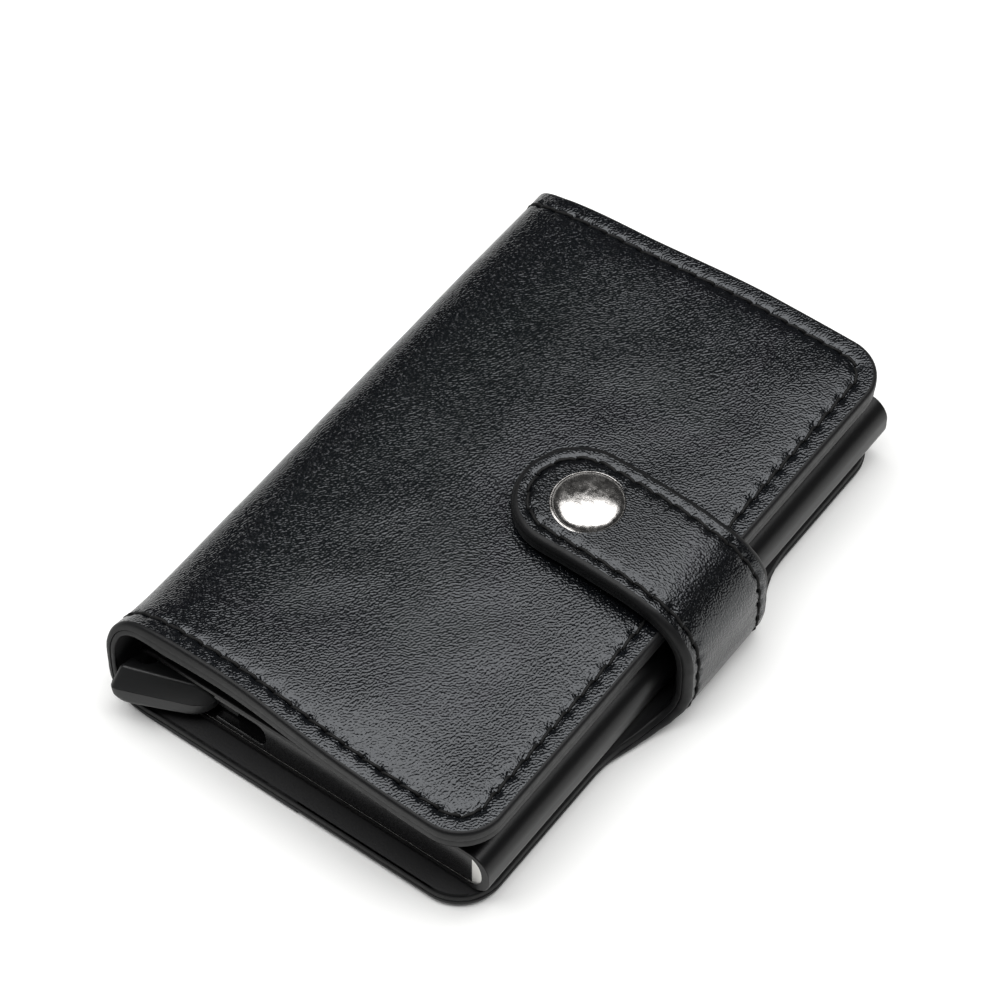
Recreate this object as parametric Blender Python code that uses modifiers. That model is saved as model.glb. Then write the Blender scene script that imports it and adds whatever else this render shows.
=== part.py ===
"""Aluminium card case in a black leather snap wallet, closed and lying on its back.

X runs across the wallet from the spine to the strap, Y along it from the lever's end to the mouth
that the cards come out of, and Z up. The origin is under the middle of the aluminium case, on the
surface that the back cover lies on. Metres.
"""
import math

import bmesh
import bpy
from mathutils import Matrix, Vector

for old in list(bpy.data.objects):
    bpy.data.objects.remove(old, do_unlink=True)

MM = 0.001

# Cards that the case is made for, and the room left round them
card_length = 85.6 * MM
card_width = 54.0 * MM
card_side_room = 0.7 * MM
card_mouth_recess = 4.7 * MM

# Aluminium case, with the end cap and the lever's arm that lie behind the cards
case_thickness = 8.4 * MM
case_wall = 0.9 * MM
case_side_wall = 3.0 * MM
case_corner = 3.0 * MM
cavity_corner = 1.0 * MM
cap_depth = 2.5 * MM
arm_gap = 0.4 * MM
arm_width = 2.8 * MM
rib_width = 2.0 * MM
case_width = card_width + 2 * (card_side_room + case_side_wall)
case_length = card_length + card_mouth_recess + rib_width + arm_width + arm_gap + cap_depth

# Leather, board and foam layers
cover_thickness = 1.0 * MM
lining_thickness = 0.6 * MM
board_thickness = 0.5 * MM
padding_thickness = 1.4 * MM
spine_lining_thickness = 0.8 * MM
strap_lining_thickness = 1.0 * MM
tape_thickness = 0.25 * MM

# Clearances: between glued layers, between the two sides of a fold, and the overrun of a cut
glue_gap = 0.2 * MM
fold_gap = 0.3 * MM
overrun = 1.0 * MM
weld_distance = 0.001 * MM

# Wallet panels around the case
near_overhang = 3.3 * MM
far_overhang = 0.9 * MM
back_inset = 0.7 * MM
flap_inset = 0.6 * MM
spine_clearance = 0.7 * MM
flap_lift = 4.75 * MM
panel_corner = 7.0 * MM
board_inset = 3.0 * MM
padding_inset = 4.6 * MM

# Strap
strap_width = 18.8 * MM
strap_offset = 0.3 * MM
strap_clearance = 2.4 * MM
strap_lift = 2.2 * MM
strap_reach = 31.1 * MM
strap_flare_length = 14.0 * MM
strap_flare_corner = 9.0 * MM

# Thread
thread_radius = 0.25 * MM
stitch_inset = 3.1 * MM
strap_stitch_inset = 2.0 * MM

# Counts of straight steps in round shapes
corner_steps = 8
side_steps = 12
turn_steps = 32
smooth_angle = 30

# Heights of the layers, from the surface up
back_cover_z = 0.0
back_board_z = back_cover_z + cover_thickness + glue_gap
back_lining_z = back_board_z + board_thickness + glue_gap
back_top = back_lining_z + lining_thickness
tape_z = back_top + glue_gap
case_z = tape_z + tape_thickness + glue_gap
case_top = case_z + case_thickness
case_middle_z = case_z + case_thickness / 2
flap_bottom = case_top + flap_lift
flap_padding_z = flap_bottom + lining_thickness + glue_gap
flap_cover_z = flap_padding_z + padding_thickness + glue_gap
flap_top = flap_cover_z + cover_thickness
strap_bottom = flap_top + strap_lift
strap_cover_z = strap_bottom + strap_lining_thickness + glue_gap
strap_top = strap_cover_z + cover_thickness

# Edges of the panels, seen from above
near_y = -case_length / 2 - near_overhang
far_y = case_length / 2 + far_overhang
panel_middle_y = (near_y + far_y) / 2
spine_inner_x = -case_width / 2 - spine_clearance
spine_lining_x = spine_inner_x - spine_lining_thickness
spine_outer_x = spine_lining_x - glue_gap - cover_thickness
panel_left_x = spine_inner_x + fold_gap
back_right_x = case_width / 2 - back_inset
flap_right_x = case_width / 2 - flap_inset
strap_inner_x = case_width / 2 + strap_clearance
strap_cover_x = strap_inner_x + strap_lining_thickness + glue_gap
strap_outer_x = strap_cover_x + cover_thickness
strap_root_x = strap_inner_x - fold_gap
strap_tip_x = strap_root_x - strap_reach
strap_near_y = strap_offset - strap_width / 2
strap_far_y = strap_offset + strap_width / 2

# Collections
parts = bpy.data.collections.new("aluminium_card_case")
cutters = bpy.data.collections.new("cutters")
for collection in (parts, cutters):
    bpy.context.scene.collection.children.link(collection)


def look(name, colour, roughness, metallic=0.0):
    """One Principled material."""
    material = bpy.data.materials.new(name)
    material.use_nodes = True
    shader = material.node_tree.nodes["Principled BSDF"]
    shader.inputs["Base Color"].default_value = (*colour, 1.0)
    shader.inputs["Roughness"].default_value = roughness
    shader.inputs["Metallic"].default_value = metallic
    return material


grained_leather = look("grained_leather", (0.022, 0.023, 0.026), 0.5)
strap_leather = look("strap_leather", (0.024, 0.025, 0.027), 0.48)
lining_leather = look("lining_leather", (0.015, 0.015, 0.016), 0.6)
board_grey = look("board_grey", (0.22, 0.21, 0.2), 0.9)
foam_grey = look("foam_grey", (0.1, 0.1, 0.1), 0.95)
pocket_cloth = look("pocket_cloth", (0.012, 0.012, 0.013), 0.8)
black_thread = look("black_thread", (0.006, 0.006, 0.006), 0.7)
black_aluminium = look("black_aluminium", (0.03, 0.03, 0.032), 0.35, 0.6)
glossy_plastic = look("glossy_plastic", (0.008, 0.008, 0.009), 0.15)
grey_plastic = look("grey_plastic", (0.035, 0.035, 0.037), 0.4)
tape_white = look("tape_white", (0.75, 0.75, 0.72), 0.6)
felt_black = look("felt_black", (0.02, 0.02, 0.02), 0.95)
pin_steel = look("pin_steel", (0.6, 0.6, 0.6), 0.3, 1.0)
dark_nickel = look("dark_nickel", (0.42, 0.41, 0.4), 0.12, 1.0)
plain_nickel = look("plain_nickel", (0.55, 0.54, 0.52), 0.25, 1.0)


def filleted(corners):
    """Points round a closed outline given as (x, y, corner radius)."""
    points = []
    for index, (x, y, radius) in enumerate(corners):
        corner = Vector((x, y))
        before = Vector(corners[index - 1][:2]) - corner
        after = Vector(corners[(index + 1) % len(corners)][:2]) - corner
        if radius == 0:
            points.append(corner)
            continue
        half_angle = before.angle(after) / 2
        to_centre = (before.normalized() + after.normalized()).normalized()
        centre = corner + to_centre * (radius / math.sin(half_angle))
        reach = radius / math.tan(half_angle)
        start = corner + before.normalized() * reach - centre
        end = corner + after.normalized() * reach - centre
        sweep = start.angle_signed(end)
        for step in range(corner_steps + 1):
            points.append(centre + Matrix.Rotation(-sweep * step / corner_steps, 2) @ start)
    return points


def circle(x, y, radius):
    """Points round a hole."""
    steps = [2 * math.pi * step / turn_steps for step in range(turn_steps)]
    return [Vector((x + radius * math.cos(angle), y + radius * math.sin(angle))) for angle in steps]


def rounded_box(left, right, half_height, left_corner, right_corner):
    """Points round a level section, with the corner radius of its left and of its right side."""
    return filleted([
        (left, -half_height, left_corner),
        (right, -half_height, right_corner),
        (right, half_height, right_corner),
        (left, half_height, left_corner),
    ])


def stadium(half_width, half_height):
    """Points round a flat section with full round sides."""
    points = []
    for side, start in ((1, -math.pi / 2), (-1, math.pi / 2)):
        centre_x = side * (half_width - half_height)
        for step in range(side_steps + 1):
            angle = start + math.pi * step / side_steps
            points.append(Vector((centre_x + half_height * math.cos(angle), half_height * math.sin(angle))))
    return points


def flat(name, outlines, thickness):
    """A flat piece about the XY plane, from the outline of its rim and those of its holes."""
    curve = bpy.data.curves.new(name, "CURVE")
    curve.dimensions = "2D"
    curve.fill_mode = "BOTH"
    curve.extrude = thickness / 2
    for outline in outlines:
        spline = curve.splines.new("POLY")
        spline.points.add(len(outline) - 1)
        spline.use_cyclic_u = True
        for point, corner in zip(spline.points, outline):
            point.co = (corner.x, corner.y, 0, 1)
    return bpy.data.objects.new(name, curve)


def layer(name, outlines, bottom, thickness):
    """A flat layer that lies level, with its underside at the height given."""
    obj = flat(name, outlines, thickness)
    obj.location.z = bottom + thickness / 2
    return obj


def upright(name, outlines, front_y, depth):
    """A flat section, drawn in X and Z, that runs back along Y from the place given."""
    obj = flat(name, outlines, depth)
    obj.rotation_euler.x = math.pi / 2
    obj.location.y = front_y + depth / 2
    return obj


def block(name, low, high):
    """A box between two corners."""
    bpy.ops.mesh.primitive_cube_add(size=1)
    obj = bpy.context.object
    obj.name = name
    obj.data.name = name
    middle = [(a + b) / 2 for a, b in zip(low, high)]
    spans = [b - a for a, b in zip(low, high)]
    obj.data.transform(Matrix.Diagonal((*spans, 1)))
    obj.location = middle
    for collection in obj.users_collection:
        collection.objects.unlink(obj)
    return obj


def turned(name, profile, x, y, z):
    """A turned piece: its profile in radius and height, swept round a level circle."""
    mesh = bpy.data.meshes.new(name)
    points = [(radius, 0, height) for radius, height in profile]
    mesh.from_pydata(points, [(i, i + 1) for i in range(len(points) - 1)], [])
    obj = bpy.data.objects.new(name, mesh)
    obj.location = (x, y, z)
    screw = obj.modifiers.new("turn", "SCREW")
    screw.steps = turn_steps
    screw.render_steps = turn_steps
    screw.use_merge_vertices = True
    screw.merge_threshold = weld_distance
    return obj


def thread(name, path):
    """Sewing thread along an open path."""
    curve = bpy.data.curves.new(name, "CURVE")
    curve.dimensions = "3D"
    curve.bevel_depth = thread_radius
    curve.bevel_resolution = 0
    curve.use_fill_caps = True
    spline = curve.splines.new("POLY")
    spline.points.add(len(path) - 1)
    for point, position in zip(spline.points, path):
        point.co = (*position, 1)
    return bpy.data.objects.new(name, curve)


def as_mesh(curve_object):
    """A curve object made a mesh with welded caps, at the same place."""
    bpy.context.scene.collection.objects.link(curve_object)
    bpy.context.view_layer.update()
    evaluated = curve_object.evaluated_get(bpy.context.evaluated_depsgraph_get())
    mesh = bpy.data.meshes.new_from_object(evaluated)
    welded = bmesh.new()
    welded.from_mesh(mesh)
    bmesh.ops.remove_doubles(welded, verts=welded.verts, dist=weld_distance)
    welded.to_mesh(mesh)
    welded.free()
    obj = bpy.data.objects.new(curve_object.name + "_mesh", mesh)
    obj.matrix_world = curve_object.matrix_world.copy()
    name = curve_object.name
    bpy.data.objects.remove(curve_object, do_unlink=True)
    obj.name = name
    return obj


def combine(obj, other, operation):
    """Join the other solid to this one, or cut it away."""
    cutters.objects.link(other)
    other.hide_render = True
    other.display_type = "WIRE"
    modifier = obj.modifiers.new(other.name, "BOOLEAN")
    modifier.operation = operation
    modifier.solver = "EXACT"
    modifier.object = other


def place(obj, material, body=None):
    """Put a finished piece among the parts, with its material, on the axis of the body it belongs to."""
    parts.objects.link(obj)
    obj.data.materials.append(material)
    if body is not None:
        bpy.context.view_layer.update()
        obj.parent = body
        obj.matrix_parent_inverse = body.matrix_world.inverted()
    return obj


def axis_point(name, x, y, z, parent=None):
    """An empty on a joint's axis, which carries the body that turns on it."""
    empty = bpy.data.objects.new(name, None)
    parts.objects.link(empty)
    empty.location = (x, y, z)
    bpy.context.view_layer.update()
    if parent is not None:
        empty.parent = parent
        empty.matrix_parent_inverse = parent.matrix_world.inverted()
        bpy.context.view_layer.update()
    return empty


# Joint axes: the folds of the leather at the spine and the strap, and the lever's pin
fold_half = fold_gap / 2
spine_fold = axis_point("spine_fold", spine_inner_x + fold_half, panel_middle_y, back_top + fold_half)
flap_fold = axis_point("flap_fold", spine_inner_x + fold_half, panel_middle_y, flap_bottom - fold_half, spine_fold)
strap_fold = axis_point("strap_fold", strap_inner_x - fold_half, strap_offset, back_top + fold_half)
strap_bend = axis_point("strap_bend", strap_inner_x - fold_half, strap_offset, strap_bottom - fold_half, strap_fold)

# Aluminium shell: an extruded tube with thick sides, straight inside and rounded outside, notched at
# the near end of the spine side for the lever
lever_notch_length = 18.0 * MM
lever_notch_reach = 3.2 * MM
lever_notch_clearance = 0.2 * MM
cavity_half_height = case_thickness / 2 - case_wall
cavity_half_width = case_width / 2 - case_side_wall
outside = rounded_box(-case_width / 2, case_width / 2, case_thickness / 2, case_corner, case_corner)
cavity = rounded_box(-cavity_half_width, cavity_half_width, cavity_half_height, cavity_corner, cavity_corner)
case_near_y = -case_length / 2
shell = as_mesh(upright("case_shell", [outside, cavity], case_near_y, case_length))
shell.matrix_world = Matrix.Translation((0, 0, case_middle_z)) @ shell.matrix_world
notch_half_height = cavity_half_height - lever_notch_clearance
notch = block(
    "lever_notch",
    (-case_width / 2 - overrun, case_near_y - overrun, case_middle_z - notch_half_height),
    (-case_width / 2 + lever_notch_reach, case_near_y + lever_notch_length, case_middle_z + notch_half_height),
)
combine(shell, notch, "DIFFERENCE")
place(shell, black_aluminium)

# End cap: closes the near end from the lever's opening to the strap side, and carries the lever's pin
cap_clearance = 0.2 * MM
lever_opening = 13.8 * MM
cap_slot_length = 9.0 * MM
cap_slot_height = 2.6 * MM
pivot_inset = 8.7 * MM
lug_width = 6.0 * MM
lug_thickness = 1.0 * MM
lug_overhang = 2.6 * MM
pin_radius = 1.0 * MM
pin_fit = 0.06 * MM
boss_radius = 2.1 * MM
cap_left_x = -case_width / 2 + lever_opening
pivot_x = case_width / 2 - pivot_inset
pivot_y = case_near_y + cap_depth + arm_gap + boss_radius
cap_half_width = cavity_half_width - cap_clearance
cap_half_height = cavity_half_height - cap_clearance
cap_section = rounded_box(cap_left_x, cap_half_width, cap_half_height, 0, cavity_corner - cap_clearance)
cap = as_mesh(upright("end_cap", [cap_section], case_near_y, cap_depth))
cap.matrix_world = Matrix.Translation((0, 0, case_middle_z)) @ cap.matrix_world
for side, name in ((-1, "cap_lug_bottom"), (1, "cap_lug_top")):
    outer_z = case_middle_z + side * cap_half_height
    low_z, high_z = sorted((outer_z, outer_z - side * lug_thickness))
    lug = block(
        name,
        (pivot_x - lug_width / 2, case_near_y + cap_depth - overrun, low_z),
        (pivot_x + lug_width / 2, pivot_y + lug_overhang, high_z),
    )
    combine(cap, lug, "UNION")
slot_outline = stadium(cap_slot_length, cap_slot_height / 2)
slot = as_mesh(upright("cap_slot", [slot_outline], case_near_y - overrun, cap_depth + 2 * overrun))
slot.matrix_world = Matrix.Translation((cap_left_x, 0, case_middle_z)) @ slot.matrix_world
combine(cap, slot, "DIFFERENCE")
pin_hole = as_mesh(layer("pin_hole", [circle(pivot_x, pivot_y, pin_radius + pin_fit)], case_z, case_thickness))
combine(cap, pin_hole, "DIFFERENCE")
place(cap, glossy_plastic)

# Lever's pin: a plain steel dowel held in the cap's two lugs
pin_end_gap = 0.3 * MM
pin_z = case_z + case_wall + pin_end_gap
pin_length = case_thickness - 2 * case_wall - 2 * pin_end_gap
pin_profile = [(0, pin_length), (pin_radius, pin_length), (pin_radius, 0), (0, 0)]
place(turned("lever_pin", pin_profile, pivot_x, pivot_y, pin_z), pin_steel)

# Eject lever: an arm along the near end with a stair of five ribs, one for each card, and the tab
# that the thumb pushes, which ends in a ridge
lever_clearance = 0.5 * MM
arm_end_clearance = 0.8 * MM
rib_count = 5
rib_step = 7.6 * MM
rib_overlap = 0.1 * MM
tab_tip_inset = 0.7 * MM
tab_tip_reach = 5.6 * MM
tab_end_gap = 0.5 * MM
tab_end_reach = 0.3 * MM
tab_corner = 0.8 * MM
tab_upper_slope = 2.2 * MM
tab_lower_slope = 1.0 * MM
lug_clearance = 0.3 * MM
lever_height = 2 * (cavity_half_height - lever_clearance)
lever_bottom = case_middle_z - lever_height / 2
arm_left_x = -cavity_half_width + arm_end_clearance
arm_near_y = case_near_y + cap_depth + arm_gap
arm_far_y = arm_near_y + arm_width
tab_tip = Vector((-case_width / 2 + tab_tip_inset, case_near_y - tab_tip_reach))
tab_end = Vector((cap_left_x - tab_end_gap, case_near_y - tab_end_reach))
arm_outline = filleted([
    (tab_tip.x, tab_tip.y, tab_corner),
    (tab_end.x, tab_end.y, 0),
    (tab_end.x, arm_near_y, 0),
    (pivot_x, arm_near_y, 0),
    (pivot_x, arm_far_y, 0),
    (arm_left_x, arm_far_y, 0),
    (arm_left_x, case_near_y, 0),
    (tab_tip.x, case_near_y - tab_tip_reach / 2, 0),
])
lever = as_mesh(layer("eject_lever", [arm_outline], lever_bottom, lever_height))
boss = as_mesh(layer("lever_boss", [circle(pivot_x, pivot_y, boss_radius)], lever_bottom, lever_height))
combine(lever, boss, "UNION")
for rib in range(rib_count):
    rib_low = lever_bottom + lever_height * rib / rib_count
    rib_high = lever_bottom + lever_height * (rib + 1) / rib_count
    rib_left_x = arm_left_x + rib_step * rib
    step_block = block(
        f"lever_rib_{rib}",
        (rib_left_x, arm_far_y - rib_overlap, max(rib_low - rib_overlap, lever_bottom)),
        (pivot_x - boss_radius, arm_far_y + rib_width, rib_high),
    )
    combine(lever, step_block, "UNION")
ridge = tab_end - tab_tip
ridge_middle = (tab_tip + tab_end) / 2
inward = Vector((-ridge.y, ridge.x, 0)).normalized()
upward = Vector((0, 0, 1))
slope_axes = Matrix((inward, upward, inward.cross(upward))).transposed().to_4x4()
slope_place = Matrix.Translation((ridge_middle.x, ridge_middle.y, case_middle_z)) @ slope_axes
slope_rise = lever_height / 2
past_edge = 1 + overrun / slope_rise
for side, slope, name in ((1, tab_upper_slope, "tab_slope_top"), (-1, tab_lower_slope, "tab_slope_bottom")):
    edge_z = side * slope_rise * past_edge
    section = [Vector((-overrun, 0)), Vector((0, 0)), Vector((slope * past_edge, edge_z)), Vector((-overrun, edge_z))]
    wedge = as_mesh(flat(name, [section], ridge.length + 2 * overrun))
    wedge.matrix_world = slope_place
    combine(lever, wedge, "DIFFERENCE")
for side, name in ((-1, "lug_recess_bottom"), (1, "lug_recess_top")):
    outer_z = case_middle_z + side * (lever_height / 2 + overrun)
    inner_z = case_middle_z + side * (cap_half_height - lug_thickness - lug_clearance)
    low_z, high_z = sorted((outer_z, inner_z))
    recess = block(
        name,
        (pivot_x - lug_width / 2 - rib_width, arm_near_y - overrun, low_z),
        (pivot_x + lug_width, pivot_y + lug_overhang + overrun, high_z),
    )
    combine(lever, recess, "DIFFERENCE")
lever_hole = as_mesh(layer("lever_hole", [circle(pivot_x, pivot_y, pin_radius + pin_fit)], case_z, case_thickness))
combine(lever, lever_hole, "DIFFERENCE")
lever_axis = axis_point("lever_axis", pivot_x, pivot_y, case_middle_z)
place(lever, grey_plastic, lever_axis)

# Felt strips inside the tube, which hold the cards by friction
pad_width = 38.0 * MM
pad_length = 50.0 * MM
pad_mouth_gap = 13.0 * MM
pad_thickness = 0.5 * MM
pad_far_y = case_length / 2 - pad_mouth_gap
for name, pad_z in (
    ("grip_pad_back", case_z + case_wall + glue_gap),
    ("grip_pad_front", case_top - case_wall - glue_gap - pad_thickness),
):
    low = (-pad_width / 2, pad_far_y - pad_length, pad_z)
    high = (pad_width / 2, pad_far_y, pad_z + pad_thickness)
    place(block(name, low, high), felt_black)

# Tape between the case and the back's lining
tape_inset = 5.0 * MM
tape_half_width = case_width / 2 - case_thickness / 2 - tape_inset
tape_half_length = case_length / 2 - tape_inset
tape = block(
    "case_adhesive",
    (-tape_half_width, -tape_half_length, tape_z),
    (tape_half_width, tape_half_length, tape_z + tape_thickness),
)
place(tape, tape_white)

# Back: cover and lining run out into the strap's root, and the board stops short of the rim
back_outline = filleted([
    (panel_left_x, near_y, 0),
    (back_right_x, near_y, panel_corner),
    (back_right_x, strap_near_y - strap_flare_length, strap_flare_corner),
    (strap_root_x, strap_near_y, 0),
    (strap_root_x, strap_far_y, 0),
    (back_right_x, strap_far_y + strap_flare_length, strap_flare_corner),
    (back_right_x, far_y, panel_corner),
    (panel_left_x, far_y, 0),
])
place(layer("back_cover", [back_outline], back_cover_z, cover_thickness), grained_leather)
place(layer("back_lining", [back_outline], back_lining_z, lining_thickness), lining_leather)
board_corner = panel_corner - board_inset
board_outline = filleted([
    (panel_left_x + board_inset, near_y + board_inset, board_corner),
    (back_right_x - board_inset, near_y + board_inset, board_corner),
    (back_right_x - board_inset, far_y - board_inset, board_corner),
    (panel_left_x + board_inset, far_y - board_inset, board_corner),
])
place(layer("back_board", [board_outline], back_board_z, board_thickness), board_grey)

# Spine: stands between the two folds
spine_low = back_top + fold_gap
spine_high = flap_bottom - fold_gap
spine_cover = block(
    "spine_cover",
    (spine_outer_x, near_y, spine_low),
    (spine_outer_x + cover_thickness, far_y, spine_high),
)
place(spine_cover, grained_leather, spine_fold)
spine_lining = block(
    "spine_lining",
    (spine_lining_x, near_y, spine_low),
    (spine_inner_x, far_y, spine_high),
)
place(spine_lining, lining_leather, spine_fold)
thread_lift = glue_gap + thread_radius
spine_thread_x = spine_outer_x - thread_lift
for name, y in (
    ("spine_stitching_near", near_y + stitch_inset),
    ("spine_stitching_far", far_y - stitch_inset),
):
    path = [(spine_thread_x, y, spine_low + thread_radius), (spine_thread_x, y, spine_high - thread_radius)]
    place(thread(name, path), black_thread, spine_fold)

# Snap: cap and socket clenched through the strap, stud and post through the flap's cover
snap_setback = 9.8 * MM
snap_cap_radius = 5.6 * MM
snap_cap_height = 2.0 * MM
snap_rim_height = 0.5 * MM
snap_stem_radius = 1.1 * MM
snap_hole_radius = 1.3 * MM
socket_radius = 4.6 * MM
socket_bore = 2.1 * MM
socket_height = 1.2 * MM
socket_plate = 0.4 * MM
stud_radius = 4.0 * MM
stud_flange = 0.4 * MM
stud_head_radius = 1.8 * MM
stud_head_height = 0.8 * MM
stud_hollow_radius = 1.1 * MM
stud_roof = 0.4 * MM
post_radius = 3.2 * MM
post_flange = 0.5 * MM
post_shank_radius = 0.9 * MM
post_hole_radius = 1.1 * MM
post_tip_gap = 0.2 * MM
dome_steps = 8
snap_x = strap_tip_x + snap_setback
snap_y = strap_offset

# Flap: cover, foam and lining, with the pockets sewn to its inside. It swells over the case and
# stands a little higher at the near end of the spine: each row gives the distance from the fold and
# the rise there over the flat level, at the near and at the far edge.
flap_rise = [
    (0, 0, 0),
    (4.4 * MM, 0.9 * MM, -1.0 * MM),
    (9.1 * MM, 1.3 * MM, -0.4 * MM),
    (19.1 * MM, 1.2 * MM, 0.2 * MM),
    (28.1 * MM, 0.9 * MM, 0.4 * MM),
    (36.6 * MM, 0, 0),
    (49.6 * MM, 0, 0),
    (61.2 * MM, -1.0 * MM, -0.5 * MM),
]
cover_near_drop = -0.7 * MM
cover_far_drop = -1.6 * MM
cover_rise = [(0, cover_near_drop, cover_far_drop)] + flap_rise[1:]
flap_rows = 4
row_span = (far_y - near_y) / flap_rows


def rise_at(rows, x, y):
    """The rise of the flap's surface at a place, between the rows' values."""
    way = min(max(x - panel_left_x, rows[0][0]), rows[-1][0])
    share = min(max((y - near_y) / (far_y - near_y), 0), 1)
    for (start, near_start, far_start), (end, near_end, far_end) in zip(rows, rows[1:]):
        if way <= end:
            along = (way - start) / (end - start)
            near = near_start + (near_end - near_start) * along
            far = far_start + (far_end - far_start) * along
            return near + (far - near) * share


def lies_level(face):
    """Whether a face of a level layer is its upper or its lower side."""
    return abs(face.normal.z) > math.cos(math.pi / 4)


def spare_edge(edge):
    """Whether an edge only divides one field of the flap between its lines, where it swells."""
    middle = (edge.verts[0].co + edge.verts[1].co) / 2
    way = middle.x - panel_left_x
    on_column = any(abs(way - row[0]) < weld_distance for row in flap_rise)
    on_row = any(abs(middle.y - near_y - row_span * row) < weld_distance for row in range(flap_rows + 1))
    in_flat_part = flap_rise[-3][0] < way < flap_rise[-2][0]
    return not on_column and not on_row and not in_flat_part and all(lies_level(face) for face in edge.link_faces)


def shaped(flat_object, rows):
    """A level layer made a mesh, cut at the rows' lines and lifted to the flap's curved section."""
    obj = as_mesh(flat_object)
    obj.data.transform(obj.matrix_world)
    obj.matrix_world = Matrix.Identity(4)
    work = bmesh.new()
    work.from_mesh(obj.data)
    lines = [((panel_left_x + way, 0, 0), (1, 0, 0)) for way, near, far in rows[1:-1]]
    lines += [((0, near_y + row_span * row, 0), (0, 1, 0)) for row in range(1, flap_rows)]
    for place_on_line, across in lines:
        everything = work.verts[:] + work.edges[:] + work.faces[:]
        bmesh.ops.bisect_plane(work, geom=everything, plane_co=place_on_line, plane_no=across, dist=weld_distance)
    bmesh.ops.dissolve_edges(work, edges=[edge for edge in work.edges if spare_edge(edge)], use_verts=False)
    for face in [face for face in work.faces if lies_level(face) and len(face.verts) == 4]:
        corners = list(face.verts)
        by_place = sorted(corners, key=lambda vertex: vertex.co.x + vertex.co.y)
        if abs(corners.index(by_place[0]) - corners.index(by_place[-1])) == 2:
            bmesh.utils.face_split(face, by_place[0], by_place[-1])
    bmesh.ops.triangulate(work, faces=[face for face in work.faces if lies_level(face) and len(face.verts) > 3])
    for vertex in work.verts:
        vertex.co.z += rise_at(rows, vertex.co.x, vertex.co.y)
    work.to_mesh(obj.data)
    work.free()
    return obj


flap_outline = filleted([
    (panel_left_x, near_y, 0),
    (flap_right_x, near_y, panel_corner),
    (flap_right_x, far_y, panel_corner),
    (panel_left_x, far_y, 0),
])
padding_corner = panel_corner - padding_inset
padding_outline = filleted([
    (panel_left_x + padding_inset, near_y + padding_inset, padding_corner),
    (flap_right_x - padding_inset, near_y + padding_inset, padding_corner),
    (flap_right_x - padding_inset, far_y - padding_inset, padding_corner),
    (panel_left_x + padding_inset, far_y - padding_inset, padding_corner),
])
post_room = circle(snap_x, snap_y, post_radius + fold_gap)
post_hole = circle(snap_x, snap_y, post_hole_radius)
flap_lining = layer("flap_lining", [flap_outline], flap_bottom, lining_thickness)
place(shaped(flap_lining, flap_rise), lining_leather, flap_fold)
flap_padding = layer("flap_padding", [padding_outline, post_room], flap_padding_z, padding_thickness)
place(shaped(flap_padding, flap_rise), foam_grey, flap_fold)
flap_cover = layer("flap_cover", [flap_outline, post_hole], flap_cover_z, cover_thickness)
place(shaped(flap_cover, cover_rise), grained_leather, flap_fold)

pocket_thickness = 0.4 * MM
pocket_fold_inset = 5.1 * MM
pocket_right_inset = 2.5 * MM
pocket_end_inset = 3.0 * MM
pocket_corner = 4.0 * MM
pocket_stagger = 14.0 * MM
pocket_pitch = pocket_thickness + glue_gap
pocket_left_x = panel_left_x + pocket_fold_inset
pocket_right_x = flap_right_x - pocket_right_inset
for index, name in enumerate(("note_pocket", "card_pocket_upper", "card_pocket_lower")):
    mouth_x = pocket_left_x + pocket_stagger * index
    outline = filleted([
        (mouth_x, near_y + pocket_end_inset, 0),
        (pocket_right_x, near_y + pocket_end_inset, pocket_corner),
        (pocket_right_x, far_y - pocket_end_inset, pocket_corner),
        (mouth_x, far_y - pocket_end_inset, 0),
    ])
    pocket = layer(name, [outline], flap_bottom - pocket_pitch * (index + 1), pocket_thickness)
    place(shaped(pocket, flap_rise), pocket_cloth, flap_fold)

seam_corner = panel_corner - stitch_inset
seam = filleted([
    (panel_left_x + thread_radius, near_y + stitch_inset, 0),
    (flap_right_x - stitch_inset, near_y + stitch_inset, seam_corner),
    (flap_right_x - stitch_inset, far_y - stitch_inset, seam_corner),
    (panel_left_x + thread_radius, far_y - stitch_inset, 0),
])
crossings = [panel_left_x + way for way, near, far in cover_rise[1:-1]]
row_lines = [near_y + row_span * row for row in range(1, flap_rows)]
flap_seam = []
for start, end in zip(seam, seam[1:]):
    span = end - start
    shares = [0]
    shares += [(x - start.x) / span.x for x in crossings if min(start.x, end.x) < x < max(start.x, end.x)]
    shares += [(y - start.y) / span.y for y in row_lines if min(start.y, end.y) < y < max(start.y, end.y)]
    flap_seam += [start + span * share for share in sorted(shares)]
flap_seam.append(seam[-1])
flap_seam = [
    (point.x, point.y, flap_top + thread_lift + rise_at(cover_rise, point.x, point.y)) for point in flap_seam
]
place(thread("flap_stitching", flap_seam), black_thread, flap_fold)

# Snap's lower half, on the flap
stud_top = stud_flange + stud_head_height
stud_profile = [
    (0, stud_top),
    (stud_head_radius, stud_top),
    (stud_head_radius, stud_flange),
    (stud_radius, stud_flange),
    (stud_radius, 0),
    (stud_hollow_radius, 0),
    (stud_hollow_radius, stud_top - stud_roof),
    (0, stud_top - stud_roof),
]
stud_z = flap_top + glue_gap
place(turned("snap_stud", stud_profile, snap_x, snap_y, stud_z), plain_nickel, flap_fold)
post_z = flap_cover_z - glue_gap - post_flange
post_length = stud_z + stud_top - stud_roof - post_tip_gap - post_z
post_profile = [
    (0, post_length),
    (post_shank_radius, post_length),
    (post_shank_radius, post_flange),
    (post_radius, post_flange),
    (post_radius, 0),
    (0, 0),
]
place(turned("snap_post", post_profile, snap_x, snap_y, post_z), plain_nickel, flap_fold)

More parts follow.
